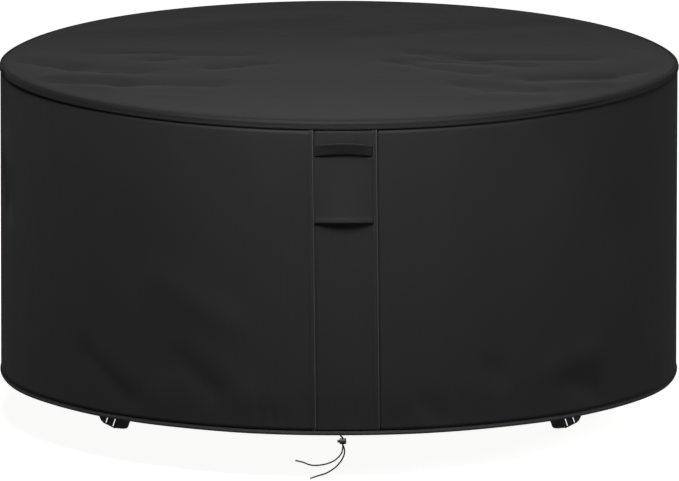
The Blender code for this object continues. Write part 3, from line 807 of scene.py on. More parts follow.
@dataclass(frozen=True)
class CoverForm:
    """Driving sizes of the cover, and where its cloth lies."""

    radius: float = 0.762
    cloth: float = 0.002
    sewn_gap: float = 0.0003
    # The hem casing, whose lower edge hangs lower towards the back.
    hem_front: float = -0.7022
    hem_side_drop: float = 0.0094
    hem_height: float = 0.010
    hem_inset: float = 0.001
    hem_thickness: float = 0.005
    # The rim seam's level in front, its lift halfway to the sides, and its level behind.
    rim_front: float = -0.0068
    rim_quarter_lift: float = 0.0022
    rim_back: float = -0.0165
    binding_height: float = 0.009
    # Where the front passes into the back, by the cosine from the back.
    front_end: float = -0.30
    back_start: float = 0.35
    # The top falls from front to back between two places along Y.
    top_front: float = 0.0112
    top_back: float = -0.0070
    fall_start: float = -0.30
    fall_end: float = 0.32
    # Its folds fade between two distances from the edge, and it droops at the sides.
    folds_fade: float = 0.09
    folds_end: float = 0.01
    side_droop: float = 0.006
    droop_reach: float = 0.12
    droop_power: int = 8
    edge_lift_front: float = 0.0010
    edge_lift_back: float = 0.0020
    shoulder: float = 0.020
    # The front strip leans: its middle is further right at its foot than at its head.
    strip_half_width: float = 0.0706
    strip_top_arc: float = 0.0083
    strip_bottom_arc: float = 0.0151
    welt_width: float = 0.010
    # How far the foot of the wall and the strip reaches down into the casing.
    hem_tuck: float = 0.0022
    # What the seams draw in: above the hem, under the binding and beside the welts.
    hem_draw: float = 0.0031
    hem_draw_height: float = 0.095
    rim_draw: float = 0.0009
    rim_draw_height: float = 0.008
    ditch_depth: float = 0.0032
    ditch_place: float = 0.0020
    ditch_width: float = 0.0014
    ditch_reach: float = 0.010

    @property
    def hem_top(self) -> float:
        """Return the height of the hem casing's upper edge in front."""
        return self.hem_front + self.hem_height

    def hem_bottom(self, angle: float) -> float:
        """Return the height of the hem's lower edge, which hangs lower towards the back."""
        return self.hem_front - self.hem_side_drop * (1 - math.cos(angle))

    @property
    def turn(self) -> float:
        """Return the arc all the way round."""
        return 2 * math.pi * self.radius

    def around(self, angle: float, radius: float, height: float) -> Vector:
        """Return the point at an angle from the front."""
        return Vector((radius * math.sin(angle), -radius * math.cos(angle), height))

    def wall_radius(self, angle: float, height: float) -> float:
        """Return the wall's outer face's distance from the axis.

        Args:
            angle: From the front, growing towards +X.
            height: Along Z.

        Returns:
            The distance, with the folds and waves in it.
        """
        arc = (angle * self.radius + self.turn / 2) % self.turn - self.turn / 2
        down = min(max(height / self.hem_front, 0.0), 1.0)
        radius = self.radius
        for fold in WALL_FOLDS + WALL_CREASES:
            radius += fold.height(arc, height)
        for wave in WALL_WAVES:
            radius += wave.rise * down * math.cos(wave.lobes * angle + wave.phase)
        return radius

    def on_wall(self, arc: float, height: float, lift: float = 0.0) -> Vector:
        """Return the point on the wall's outer face, or a lift outside it."""
        angle = arc / self.radius
        return self.around(angle, self.wall_radius(angle, height) + lift, height)

    def on_cloth(self, arc: float, height: float, lift: float = 0.0) -> Vector:
        """Find the same point with the wall drawn in at its casing, binding and front seams.

        Args:
            arc: Along the wall, from the front's middle.
            height: Along Z.
            lift: The distance outside the cloth's outer face.

        Returns:
            The point.
        """
        angle = arc / self.radius
        foot = self.hem_bottom(angle) + self.hem_height
        at_hem = 1 - ease(height, foot, foot + self.hem_draw_height)
        drawn = self.hem_draw * at_hem * math.cos(angle) ** 2
        head = self.wall_top(angle)
        drawn += self.rim_draw * (1 - ease(head - height, 0.0, self.rim_draw_height))
        for side in (-1, 1):
            # A narrow ditch runs along each welt, on its right.
            beyond = arc - self.strip_arc(height, side) - self.welt_width / 2
            if 0 < beyond < self.ditch_reach:
                across = (beyond - self.ditch_place) / self.ditch_width
                drawn += self.ditch_depth * math.exp(-(across**2))
        return self.on_wall(arc, height, lift - drawn)

    def backness(self, angle: float) -> float:
        """Return 0 along the front and 1 around the back, eased at the sides."""
        return ease(-math.cos(angle), self.front_end, self.back_start)

    def rim_level(self, angle: float) -> float:
        """Return the height of the rim seam's middle."""
        front = self.rim_front + self.rim_quarter_lift * math.sin(2 * angle) ** 2
        return mix(front, self.rim_back, self.backness(angle))

    def wall_top(self, angle: float) -> float:
        """Return the height of the wall's upper edge."""
        return self.rim_level(angle) - self.binding_height / 2 - self.sewn_gap

    def top_edge(self, angle: float) -> float:
        """Return the height of the top's edge, where it meets the binding."""
        lift = mix(self.edge_lift_front, self.edge_lift_back, self.backness(angle))
        return self.rim_level(angle) + self.binding_height / 2 + lift

    def on_shoulder(self, angle: float, turned: float, lift: float) -> Vector:
        """Return a point over the top's shoulder.

        Args:
            angle: The place round the cover, 0 in front.
            turned: How far the cloth has turned down, 0 on the flat and 90 degrees at its edge.
            lift: The distance from the cloth's outer face.

        Returns:
            The point.
        """
        flat = self.radius - self.shoulder * (1 - math.sin(turned))
        place = self.around(angle, flat, 0.0)
        level = mix(self.top_edge(angle), self.top_level(place.x, place.y), math.cos(turned))
        return self.around(angle, flat + lift * math.sin(turned), level + lift * math.cos(turned))

    def top_level(self, x: float, y: float) -> float:
        """Work out the top's height with its folds, as if it had no edge.

        Args:
            x: The place across, growing to the right.
            y: The place away, growing to the back.

        Returns:
            The height.
        """
        radius = math.hypot(x, y)
        inside = 1 - ease(radius, self.radius - self.folds_fade, self.radius - self.folds_end)
        level = mix(self.top_front, self.top_back, ease(y, self.fall_start, self.fall_end))
        if radius > self.radius - self.droop_reach:
            # The top's edge hangs slack at the two sides.
            outside = ease(radius, self.radius - self.droop_reach, self.radius)
            level -= self.side_droop * (x / radius) ** self.droop_power * outside
        for fold in TOP_FOLDS + TOP_CREASES:
            level += fold.height(x, y) * inside
        return level

    def strip_arc(self, height: float, side: float) -> float:
        """Return the arc of a strip seam's middle; side is -1 left, 0 middle, 1 right."""
        down = (height - self.wall_top(0.0)) / (self.hem_top - self.wall_top(0.0))
        return mix(self.strip_top_arc, self.strip_bottom_arc, down) + side * self.strip_half_width


# ---------------------------------------------------------------- mesh builders
def finish_object(name: str, shape: bmesh.types.BMesh, finish: Finishes) -> bpy.types.Object:
    """Turn a bmesh into a smooth object with its finish, and report it.

    Args:
        name: The piece's name.
        shape: The bmesh, which is freed.
        finish: The piece's finish.

    Returns:
        The object, at the origin.
    """
    mesh = bpy.data.meshes.new(name)
    shape.to_mesh(mesh)
    shape.free()
    mesh.materials.append(finish.material())
    mesh.shade_smooth()
    made = bpy.data.objects.new(name, mesh)
    bpy.context.scene.collection.objects.link(made)
    LOG.info("%s: %d faces, %s", name, len(mesh.polygons), finish.value.name)
    return made


def mapped_grid(
    columns: int, rows: int, place: Placer, layout: Layout | None = None, weld: bool = False
) -> bmesh.types.BMesh:
    """Make a grid, move each point to where place says, and lay out its UV map.

    Args:
        columns: Faces along u.
        rows: Faces along v.
        place: Gives a point for u and v, each from 0 to 1.
        layout: Gives the UV map's place for u and v, in metres. Without it the map is
            what is seen from straight above.
        weld: Whether points that fall together are merged, which closes a ring.

    Returns:
        The bmesh.
    """
    shape = bmesh.new()
    bmesh.ops.create_grid(shape, x_segments=columns, y_segments=rows, size=0.5)
    flat = {}
    for point in shape.verts:
        u, v = point.co.x + 0.5, point.co.y + 0.5
        point.co = place(u, v)
        flat[point] = layout(u, v) if layout else point.co.xy
    lay = shape.loops.layers.uv.new(LAY_MAP)
    for face in shape.faces:
        for corner in face.loops:
            corner[lay].uv = flat[corner.vert]
    if weld:
        bmesh.ops.remove_doubles(shape, verts=shape.verts, dist=WELD_REACH)
    return shape


def thicken(piece: bpy.types.Object, thickness: float, offset: float = -1.0) -> None:
    """Give a sheet its cloth's thickness.

    Args:
        piece: The sheet.
        thickness: The cloth's thickness.
        offset: -1 makes the grid the outer face, 0 the middle.
    """
    solidify = piece.modifiers.new("cloth", "SOLIDIFY")
    solidify.thickness = thickness
    solidify.offset = offset
    solidify.use_even_offset = True


def stand_for(piece: bpy.types.Object, node: str, slot: str) -> None:
    """Let a piece stand for a solid: hide the solid and move the piece with the cover.

    Args:
        piece: The piece.
        node: The solid's node.
        slot: The record's material slot, which is not used.
    """
    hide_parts(node)
    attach(piece, "cover")


def swept_tube(line: Sequence[Vector], diameter: float, sides: int) -> bmesh.types.BMesh:
    """Make a round tube along a line, closed by a small rounded tip at each end.

    Args:
        line: The points that its middle follows.
        diameter: Across the tube.
        sides: Faces around it.

    Returns:
        The bmesh.
    """
    last = len(line) - 1
    tangents = [(line[min(n + 1, last)] - line[max(n - 1, 0)]).normalized() for n in range(last + 1)]
    normal = tangents[0].orthogonal().normalized()
    frames = []
    for tangent in tangents:
        normal = (normal - tangent * normal.dot(tangent)).normalized()
        frames.append((normal.copy(), tangent.cross(normal)))
    tip = diameter * TIP_LENGTH
    # Rings beyond the line's ends make the two tips.
    rings = [(0, -tip, 0.0), (0, -tip * TIP_SHOULDER, TIP_SHOULDER_WIDTH)]
    rings += [(n, 0.0, 1.0) for n in range(last + 1)]
    rings += [(last, tip * TIP_SHOULDER, TIP_SHOULDER_WIDTH), (last, tip, 0.0)]

    def place(u: float, v: float) -> Vector:
        """Find the tube's point.

        Args:
            u: The share of the way along it.
            v: The share of the way round it.

        Returns:
            The point.
        """
        at, ahead, share = rings[round(u * (len(rings) - 1))]
        across, beside = frames[at]
        turn = 2 * math.pi * v
        around = across * math.cos(turn) - beside * math.sin(turn)
        return line[at] + tangents[at] * ahead + around * share * diameter / 2

    length = line_length(line)
    girth = math.pi * diameter
    return mapped_grid(len(rings) - 1, sides, place, lambda u, v: (u * length, v * girth), weld=True)


@dataclass(frozen=True)
class StitchRow:
    """A row of lockstitches: short raised threads, end to end with small gaps."""

    pitch: float = 0.0035
    length: float = 0.0026
    width: float = 0.0007
    height: float = 0.0004

    def sew(self, name: str, lines: Sequence[Sequence[tuple[Vector, Vector]]]) -> bpy.types.Object:
        """Lay stitches along lines on the cloth.

        Args:
            name: The piece's name.
            lines: Each a run of points a pitch apart, with the cloth's outward direction.

        Returns:
            The stitches, as one piece.
        """
        bead = bmesh.new()
        bmesh.ops.create_icosphere(bead, subdivisions=1, radius=0.5)
        bmesh.ops.scale(bead, vec=(self.length, self.width, self.height), verts=bead.verts)
        template = bpy.data.meshes.new("stitch template")
        bead.to_mesh(template)
        bead.free()
        shape = bmesh.new()
        for line in lines:
            for (first, outward), (second, _) in zip(line, line[1:]):
                ahead = (second - first).normalized()
                beside = outward.cross(ahead).normalized()
                turned = Matrix((ahead, beside, ahead.cross(beside))).transposed().to_4x4()
                copy = template.copy()
                copy.transform(Matrix.Translation((first + second) / 2) @ turned)
                shape.from_mesh(copy)
                bpy.data.meshes.remove(copy)
        bpy.data.meshes.remove(template)
        return finish_object(name, shape, Finishes.THREAD)


# ---------------------------------------------------------------- cloth panels
@dataclass
class TopPanel:
    """The round top: one cut of cloth, turned down at a soft shoulder."""

    form: CoverForm
    rings: int = 90
    shoulder_rings: int = 6
    tucked: float = 0.0015
    turned_down: float = 0.005

    @property
    def cut_area(self) -> float:
        """Return the area of the disc it is cut from, wider all round by what is turned down."""
        return math.pi * (self.form.radius + self.turned_down) ** 2

    def place(self, u: float, v: float) -> Vector:
        """Find the cloth's point for a place on a square that is pressed into a disc.

        Args:
            u: The square's share across.
            v: The square's share away.

        Returns:
            The point.
        """
        across = 2 * u - 1
        away = 2 * v - 1
        share = max(abs(across), abs(away))
        if share == 0:
            return Vector((0, 0, self.form.top_level(0, 0)))
        if abs(across) >= abs(away):
            angle = math.pi / 4 * away / across + (math.pi if across < 0 else 0)
        else:
            angle = math.pi / 2 - math.pi / 4 * across / away + (math.pi if away < 0 else 0)
        flat_share = 1 - self.shoulder_rings / self.rings
        flat_radius = self.form.radius - self.form.shoulder
        if share <= flat_share:
            radius = flat_radius * share / flat_share
            turned = 0.0
        else:
            turned = (share - flat_share) / (1 - flat_share) * math.pi / 2
            radius = flat_radius + self.form.shoulder * math.sin(turned)
        x = radius * math.cos(angle)
        y = radius * math.sin(angle)
        edge = self.form.top_edge(math.atan2(x, -y)) - self.tucked
        return Vector((x, y, mix(edge, self.form.top_level(x, y), math.cos(turned))))

    def build(self) -> bpy.types.Object:
        """Make the top.

        Returns:
            The piece.
        """
        shape = mapped_grid(2 * self.rings, 2 * self.rings, self.place)
        piece = finish_object("top_cloth", shape, Finishes.TOP_CLOTH)
        thicken(piece, self.form.cloth)
        stand_for(piece, "top_panel", "woven_polyester")
        return piece


@dataclass
class WallPanel:
    """The long wall: one cloth from the strip's right seam round to its left one."""

    form: CoverForm
    columns: int = 640
    rows: int = 60

    def arc_and_height(self, u: float, v: float) -> tuple[float, float]:
        """Find where a place on the cloth lies along and up the wall.

        Args:
            u: The cloth's share along, from the strip's right seam.
            v: The cloth's share up.

        Returns:
            The arc and the height.
        """
        form = self.form
        height = mix(form.hem_top + form.sewn_gap, form.wall_top(0.0), v)
        first = form.strip_arc(height, 1) + form.sewn_gap
        last = form.strip_arc(height, -1) - form.sewn_gap + form.turn
        # The columns are close together in front and far apart behind.
        arc = mix(first, last, u * u * (3 - 2 * u))
        angle = arc / form.radius
        foot = form.hem_bottom(angle) + form.hem_height - form.hem_tuck
        return arc, mix(foot, form.wall_top(angle), v)

    def place(self, u: float, v: float) -> Vector:
        """Return the cloth's point."""
        return self.form.on_cloth(*self.arc_and_height(u, v))

    def build(self) -> bpy.types.Object:
        """Make the wall.

        Returns:
            The piece.
        """
        shape = mapped_grid(self.columns, self.rows, self.place, self.arc_and_height)
        piece = finish_object("wall_cloth", shape, Finishes.WALL_CLOTH)
        thicken(piece, self.form.cloth)
        stand_for(piece, "wall_panel", "woven_polyester")
        return piece


@dataclass(frozen=True)
class SectionPoint:
    """A corner of a tape's section: out from the wall and up from its middle."""

    out: float
    up: float


@dataclass(frozen=True)
class ShoulderPoint:
    """A corner of the binding's section over the top's shoulder.

    It lies where the cloth has turned down by so many degrees, a lift above it.
    """

    turned: float
    lift: float


@dataclass
class RingTape:
    """A folded tape all the way round the cover, of one section."""

    form: CoverForm
    name: str
    node: str
    slot: str
    finish: Finishes
    section: tuple[SectionPoint | ShoulderPoint, ...]
    level: Callable[[float], float]
    steps: int = 480
    girth: float = 0.028

    def place(self, u: float, v: float) -> Vector:
        """Find the tape's point.

        Args:
            u: The share of the way round the cover.
            v: The share of the way round the section.

        Returns:
            The point.
        """
        angle = 2 * math.pi * u
        corner = self.section[round(v * len(self.section)) % len(self.section)]
        if isinstance(corner, ShoulderPoint):
            return self.form.on_shoulder(angle, math.radians(corner.turned), corner.lift)
        level = self.level(angle)
        radius = self.form.wall_radius(angle, level)
        return self.form.around(angle, radius + corner.out, level + corner.up)

    def build(self) -> bpy.types.Object:
        """Make the tape.

        Returns:
            The piece.
        """
        shape = mapped_grid(
            self.steps,
            len(self.section),
            self.place,
            lambda u, v: (u * self.form.turn, v * self.girth),
            weld=True,
        )
        piece = finish_object(self.name, shape, self.finish)
        smoother = piece.modifiers.new("rolled edges", "SUBSURF")
        smoother.levels = 1
        smoother.render_levels = 1
        stand_for(piece, self.node, self.slot)
        return piece

    def sew(self, name: str, place: SectionPoint) -> bpy.types.Object:
        """Sew a row of stitches all the way round.

        Args:
            name: The stitches' name.
            place: Where the row runs on the section.

        Returns:
            The stitches.
        """
        row = StitchRow()
        count = round(self.form.turn / row.pitch)
        line = []
        for step in range(count + 1):
            angle = 2 * math.pi * step / count
            level = self.level(angle)
            radius = self.form.wall_radius(angle, level) + place.out
            outward = self.form.around(angle, 1.0, 0.0)
            line.append((self.form.around(angle, radius, level + place.up), outward))
        stitches = row.sew(name, [line])
        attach(stitches, "cover")
        return stitches


BINDING_SECTION = (
    # Up the outer face and over the shoulder, back inside and round the lower lip.
    SectionPoint(0.0026, -0.0016),
    SectionPoint(0.0019, 0.0006),
    SectionPoint(0.0014, 0.0030),
    ShoulderPoint(78, 0.0011),
    ShoulderPoint(66, 0.0011),
    ShoulderPoint(54, 0.0011),
    ShoulderPoint(42, 0.0012),
    ShoulderPoint(36, 0.0007),
    ShoulderPoint(40, 0.0002),
    ShoulderPoint(60, 0.0002),
    ShoulderPoint(84, 0.0002),
    SectionPoint(-0.0004, 0.0030),
    SectionPoint(-0.0010, 0.0000),
    SectionPoint(-0.0012, -0.0030),
    SectionPoint(-0.0004, -0.0044),
    SectionPoint(0.0009, -0.0045),
    SectionPoint(0.0022, -0.0042),
    SectionPoint(0.0029, -0.0032),
)

HEM_SECTION = (
    # Up the full outer face to the thinner stitched lip, down inside and round the foot.
    SectionPoint(0.0021, -0.0008),
    SectionPoint(0.0019, 0.0012),
    SectionPoint(0.0010, 0.0028),
    SectionPoint(0.0008, 0.0042),
    SectionPoint(-0.0006, 0.0049),
    SectionPoint(-0.0024, 0.0046),
    SectionPoint(-0.0034, 0.0030),
    SectionPoint(-0.0036, -0.0020),
    SectionPoint(-0.0026, -0.0044),
    SectionPoint(-0.0008, -0.0050),
    SectionPoint(0.0010, -0.0045),
    SectionPoint(0.0019, -0.0029),
)

WELT_SECTION = (
    # Lift from the wall, and place across from left to right: a flat tape, its stitched
    # groove and a narrow folded edge that stands up on the right.
    SectionPoint(0.0005, -0.0050),
    SectionPoint(0.0016, -0.0044),
    SectionPoint(0.0018, -0.0025),
    SectionPoint(0.0017, -0.0004),
    SectionPoint(0.0012, 0.0008),
    SectionPoint(0.0014, 0.0016),
    SectionPoint(0.0028, 0.0026),
    SectionPoint(0.0034, 0.0033),
    SectionPoint(0.0033, 0.0040),
    SectionPoint(0.0022, 0.0046),
    SectionPoint(0.0004, 0.0048),
    SectionPoint(0.0003, 0.0020),
    SectionPoint(0.0003, -0.0010),
    SectionPoint(0.0003, -0.0040),
)


@dataclass
class Rim:
    """The binding over the seam of top and wall, with its row of stitches."""

    form: CoverForm
    stitches: SectionPoint = SectionPoint(0.0025, -0.0008)

    def build(self) -> list[bpy.types.Object]:
        """Make the binding and its stitches.

        Returns:
            Both pieces.
        """
        tape = RingTape(
            self.form,
            name="rim_tape",
            node="rim_binding",
            slot="seam_tape",
            finish=Finishes.SEAM_TAPE,
            section=BINDING_SECTION,
            level=self.form.rim_level,
        )
        return [tape.build(), tape.sew("rim_stitches", self.stitches)]


@dataclass
class Hem:
    """The casing round the lower edge, with the row of stitches in its lip."""

    form: CoverForm
    stitches: SectionPoint = SectionPoint(0.0010, 0.0036)

    def level(self, angle: float) -> float:
        """Return the height of the casing's middle."""
        return self.form.hem_bottom(angle) + self.form.hem_height / 2

    def build(self) -> list[bpy.types.Object]:
        """Make the casing and its stitches.

        Returns:
            Both pieces.
        """
        tape = RingTape(
            self.form,
            name="hem_casing_tape",
            node="hem_casing",
            slot="hem_tape",
            finish=Finishes.HEM_TAPE,
            section=HEM_SECTION,
            level=self.level,
        )
        return [tape.build(), tape.sew("hem_stitches", self.stitches)]


# ---------------------------------------------------------------- front strip
@dataclass
class FrontStrip:
    """The strip between the two front seams, with its welts, handle and vent flap."""

    form: CoverForm
    panel_grid: tuple[int, int] = (130, 90)
    welt_steps: int = 120
    welt_length: float = 0.68
    welt_girth: float = 0.024
    rest_gap: float = 0.0004
    handle_grid: tuple[int, int] = (48, 10)
    handle_length: float = 0.14
    handle_top: float = -0.0468
    handle_bottom: float = -0.0718
    handle_thickness: float = 0.0022
    handle_bow: float = 0.0095
    handle_lean: float = 0.55
    handle_arch: float = 0.0065
    flap_grid: tuple[int, int] = (40, 60)
    flap_gap: float = 0.0006
    flap_bottom: float = -0.2218
    flap_bow: float = 0.010
    flap_curl: float = 1.6
    flap_foot_rise: float = 0.0020
    flap_hem: float = 0.010
    flap_hem_rise: float = 0.0009
    flap_hem_edge: float = 0.002

    @property
    def flap_top(self) -> float:
        """Return the height of the flap's upper edge, just under the handle."""
        return self.handle_bottom - self.flap_gap

    @property
    def reach(self) -> float:
        """Return the arc from the strip's middle to a welt's inner edge."""
        return self.form.strip_half_width - self.form.welt_width / 2 - self.form.sewn_gap

    def panel(self) -> bpy.types.Object:
        """Make the strip's own cloth.

        Returns:
            The piece.
        """
        form = self.form
        foot = form.hem_top - form.hem_tuck

        def arc_and_height(u: float, v: float) -> tuple[float, float]:
            """Find where a place on the cloth lies along and up the wall.

            Args:
                u: The share across, from the left.
                v: The share up.

            Returns:
                The arc and the height.
            """
            height = mix(foot, form.wall_top(0.0), v)
            first = form.strip_arc(height, -1) + form.sewn_gap
            last = form.strip_arc(height, 1) - form.sewn_gap
            return mix(first, last, u), height

        def place(u: float, v: float) -> Vector:
            """Return the cloth's point."""
            return form.on_cloth(*arc_and_height(u, v))

        shape = mapped_grid(*self.panel_grid, place, arc_and_height)
        piece = finish_object("strip_cloth", shape, Finishes.WALL_CLOTH)
        thicken(piece, form.cloth)
        stand_for(piece, "front_strip", "woven_polyester")
        return piece

    def welt(self, name: str, node: str, side: int) -> bpy.types.Object:
        """Make the raised tape over one of the strip's seams.

        Args:
            name: The piece's name.
            node: The solid that it stands for.
            side: -1 on the left, 1 on the right.

        Returns:
            The piece.
        """
        form = self.form
        corners = len(WELT_SECTION)

        def place(u: float, v: float) -> Vector:
            """Find the tape's point.

            Args:
                u: The share of the way down it.
                v: The share of the way round its section.

            Returns:
                The point.
            """
            corner = WELT_SECTION[round(v * corners) % corners]
            height = mix(form.wall_top(0.0), form.hem_top + form.sewn_gap, u)
            return form.on_cloth(form.strip_arc(height, side) + corner.up, height, corner.out)

        def layout(u: float, v: float) -> tuple[float, float]:
            """Return the place in the flat tape."""
            return u * self.welt_length, v * self.welt_girth

        shape = mapped_grid(self.welt_steps, corners, place, layout, weld=True)
        bmesh.ops.holes_fill(shape, edges=shape.edges, sides=corners)
        bmesh.ops.recalc_face_normals(shape, faces=shape.faces)
        piece = finish_object(name, shape, Finishes.WELT_TAPE)
        stand_for(piece, node, "seam_tape")
        return piece

    def arched(self, u: float) -> float:
        """Return how far the handle arches up at a share of its length."""
        return self.handle_arch * (1 - (2 * u - 1) ** 2)

    def handle_point(self, u: float, v: float) -> Vector:
        """Find the handle's outer face's point.

        Args:
            u: The share across, from the left.
            v: The share up.

        Returns:
            The point.
        """
        form = self.form
        middle = 1 - (2 * u - 1) ** 4
        height = mix(self.handle_bottom, self.handle_top, v) + self.arched(u)
        arc = form.strip_arc(height, 0) + mix(-self.reach, self.reach, u)
        # The lower edge lies nearer to the cloth than the upper one.
        bow = self.handle_bow * mix(self.handle_lean, 1.0, v) * middle
        lift = form.sewn_gap + self.handle_thickness + self.rest_gap + bow
        return form.on_wall(arc, height, lift)

    def handle(self) -> bpy.types.Object:
        """Make the webbing handle, bowed outwards between the welts.

        Returns:
            The piece.
        """
        width = self.handle_top - self.handle_bottom
        shape = mapped_grid(
            *self.handle_grid, self.handle_point, lambda u, v: (u * self.handle_length, v * width)
        )
        piece = finish_object("handle_webbing", shape, Finishes.HANDLE)
        thicken(piece, self.handle_thickness)
        stand_for(piece, "handle_strap", "webbing")
        return piece

    def flap_point(self, u: float, v: float) -> Vector:
        """Find the flap's outer face's point.

        Args:
            u: The share across, from the left.
            v: The share up.

        Returns:
            The point.
        """
        form = self.form
        height = mix(self.flap_bottom, self.flap_top + self.arched(u), v)
        arc = form.strip_arc(height, 0) + mix(-self.reach, self.reach, u)
        opened = math.sin(math.pi * u) * (1 - v) ** self.flap_curl
        above_foot = height - self.flap_bottom
        # The turned hem makes the foot a little thicker, up to its stitches.
        stitched = (self.flap_hem - self.flap_hem_edge, self.flap_hem + self.flap_hem_edge)
        hem = self.flap_hem_rise * (1 - ease(above_foot, *stitched))
        lift = form.sewn_gap + self.rest_gap + form.cloth + hem + self.flap_bow * opened
        return form.on_wall(arc, height + self.flap_foot_rise * opened, lift)

    def flap(self) -> bpy.types.Object:
        """Make the vent's flap: shut at its head and sides, standing out at its foot.

        Returns:
            The piece.
        """
        tall = self.flap_top - self.flap_bottom
        shape = mapped_grid(
            *self.flap_grid, self.flap_point, lambda u, v: (u * 2 * self.reach, v * tall)
        )
        piece = finish_object("flap_cloth", shape, Finishes.WALL_CLOTH)
        thicken(piece, self.form.cloth)
        stand_for(piece, "vent_flap", "woven_polyester")
        return piece

    def flap_stitches(self) -> bpy.types.Object:
        """Sew the flap's turned hem.

        Returns:
            The stitches.
        """
        row = StitchRow()
        rise = self.flap_hem / (self.flap_top - self.flap_bottom)
        count = round(2 * self.reach / row.pitch)
        outward = Vector((0, -1, 0))
        line = [(self.flap_point(step / count, rise), outward) for step in range(count + 1)]
        stitches = row.sew("flap_stitches", [line])
        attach(stitches, "cover")
        return stitches

    def build(self) -> list[bpy.types.Object]:
        """Make the strip and everything that is sewn to it.

        Returns:
            The strip, its left and right welts, the handle, the flap and its stitches.
        """
        return [
            self.panel(),
            self.welt("welt_tape_left", "seam_welt_left", -1),
            self.welt("welt_tape_right", "seam_welt_right", 1),
            self.handle(),
            self.flap(),
            self.flap_stitches(),
        ]


# ---------------------------------------------------------------- drawcord
# The two free ends' routes below the lock: x, depth behind its axis and z.
CORD_ROUTES = {
    CordEnd.FRONT: (
        (0.0083, -0.0017, -0.7240),
        (0.0080, -0.0020, -0.7320),
        (0.0058, -0.0030, -0.7409),
        (0.0005, -0.0045, -0.7485),
        (-0.0086, -0.0060, -0.7566),
        (-0.0212, -0.0070, -0.7630),
        (-0.0356, -0.0075, -0.7668),
        (-0.0482, -0.0078, -0.7683),
        (-0.0600, -0.0080, -0.7680),
        (-0.0690, -0.0080, -0.7657),
        (-0.0790, -0.0078, -0.7616),
        (-0.0960, -0.0072, -0.7575),
    ),
    CordEnd.BACK: (
        (0.0087, 0.0017, -0.7240),
        (0.0104, 0.0020, -0.7285),
        (0.0124, 0.0026, -0.7372),
        (0.0108, 0.0034, -0.7483),
        (0.0059, 0.0040, -0.7584),
        (-0.0005, 0.0044, -0.7676),
        (-0.0090, 0.0046, -0.7762),
        (-0.0194, 0.0044, -0.7837),
        (-0.0284, 0.0040, -0.7886),
        (-0.0356, 0.0036, -0.7912),
        (-0.0446, 0.0032, -0.7938),
        (-0.0555, 0.0028, -0.7973),
        (-0.0636, 0.0025, -0.8002),
    ),
}


@dataclass
class Drawcord:
    """The drawcord's two free ends, from the casing's mouth down through the lock.

    In the lock they run straight, side by side. The points of that straight part are
    given as shares of the lock's diameter, from its middle upwards.
    """

    form: CoverForm
    diameter: float = 0.003
    fuzz: float = 0.00015
    sides: int = 12
    spacing: float = 0.0015
    mouth_x: float = 0.0035
    lock_x: float = 0.00825
    lock_height: float = -0.7152
    lock_diameter: float = 0.0135
    straight_part: tuple[float, ...] = (0.57, 0.38, 0.0, -0.42)

    @property
    def depth(self) -> float:
        """Return the depth of the lock's axis, under the middle of the casing."""
        middle = self.form.hem_front + self.form.hem_height / 2
        return self.form.on_wall(self.mouth_x, middle).y + self.form.hem_inset

    def route(self, end: CordEnd) -> list[Vector]:
        """List a free end's points, from the casing's mouth through the lock.

        Args:
            end: Which of the two.

        Returns:
            The points.
        """
        side = math.copysign(1.0, CORD_ROUTES[end][0][1])
        line = self.depth + side * (self.diameter / 2 + self.form.sewn_gap / 2)
        mouth = self.form.hem_front - 2 * self.form.sewn_gap
        slant = (self.lock_x - self.mouth_x) / 2
        points = [
            Vector((self.mouth_x, line, mouth)),
            Vector((self.mouth_x + slant, line, mouth - slant)),
        ]
        for share in self.straight_part:
            points.append(Vector((self.lock_x, line, self.lock_height + share * self.lock_diameter)))
        return points + [Vector((x, self.depth + back, z)) for x, back, z in CORD_ROUTES[end]]

    def build(self) -> list[bpy.types.Object]:
        """Returns:
            The front end and the back end.
        """
        made = []
        for end in CordEnd:
            line = smooth_line(self.route(end), self.spacing)
            # The braid's loose fibres make the cord look a little thicker than it measures.
            tube = swept_tube(line, self.diameter + 2 * self.fuzz, self.sides)
            piece = finish_object("cord_end_" + end.value, tube, Finishes.CORD)
            stand_for(piece, "drawcord_" + end.value, "drawcord")
            length = line_length(line)
            LOG.info("%s is %.3f m long", piece.name, length)
            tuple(line[0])
            [tuple(point) for point in line]
            made.append(piece)
        return made


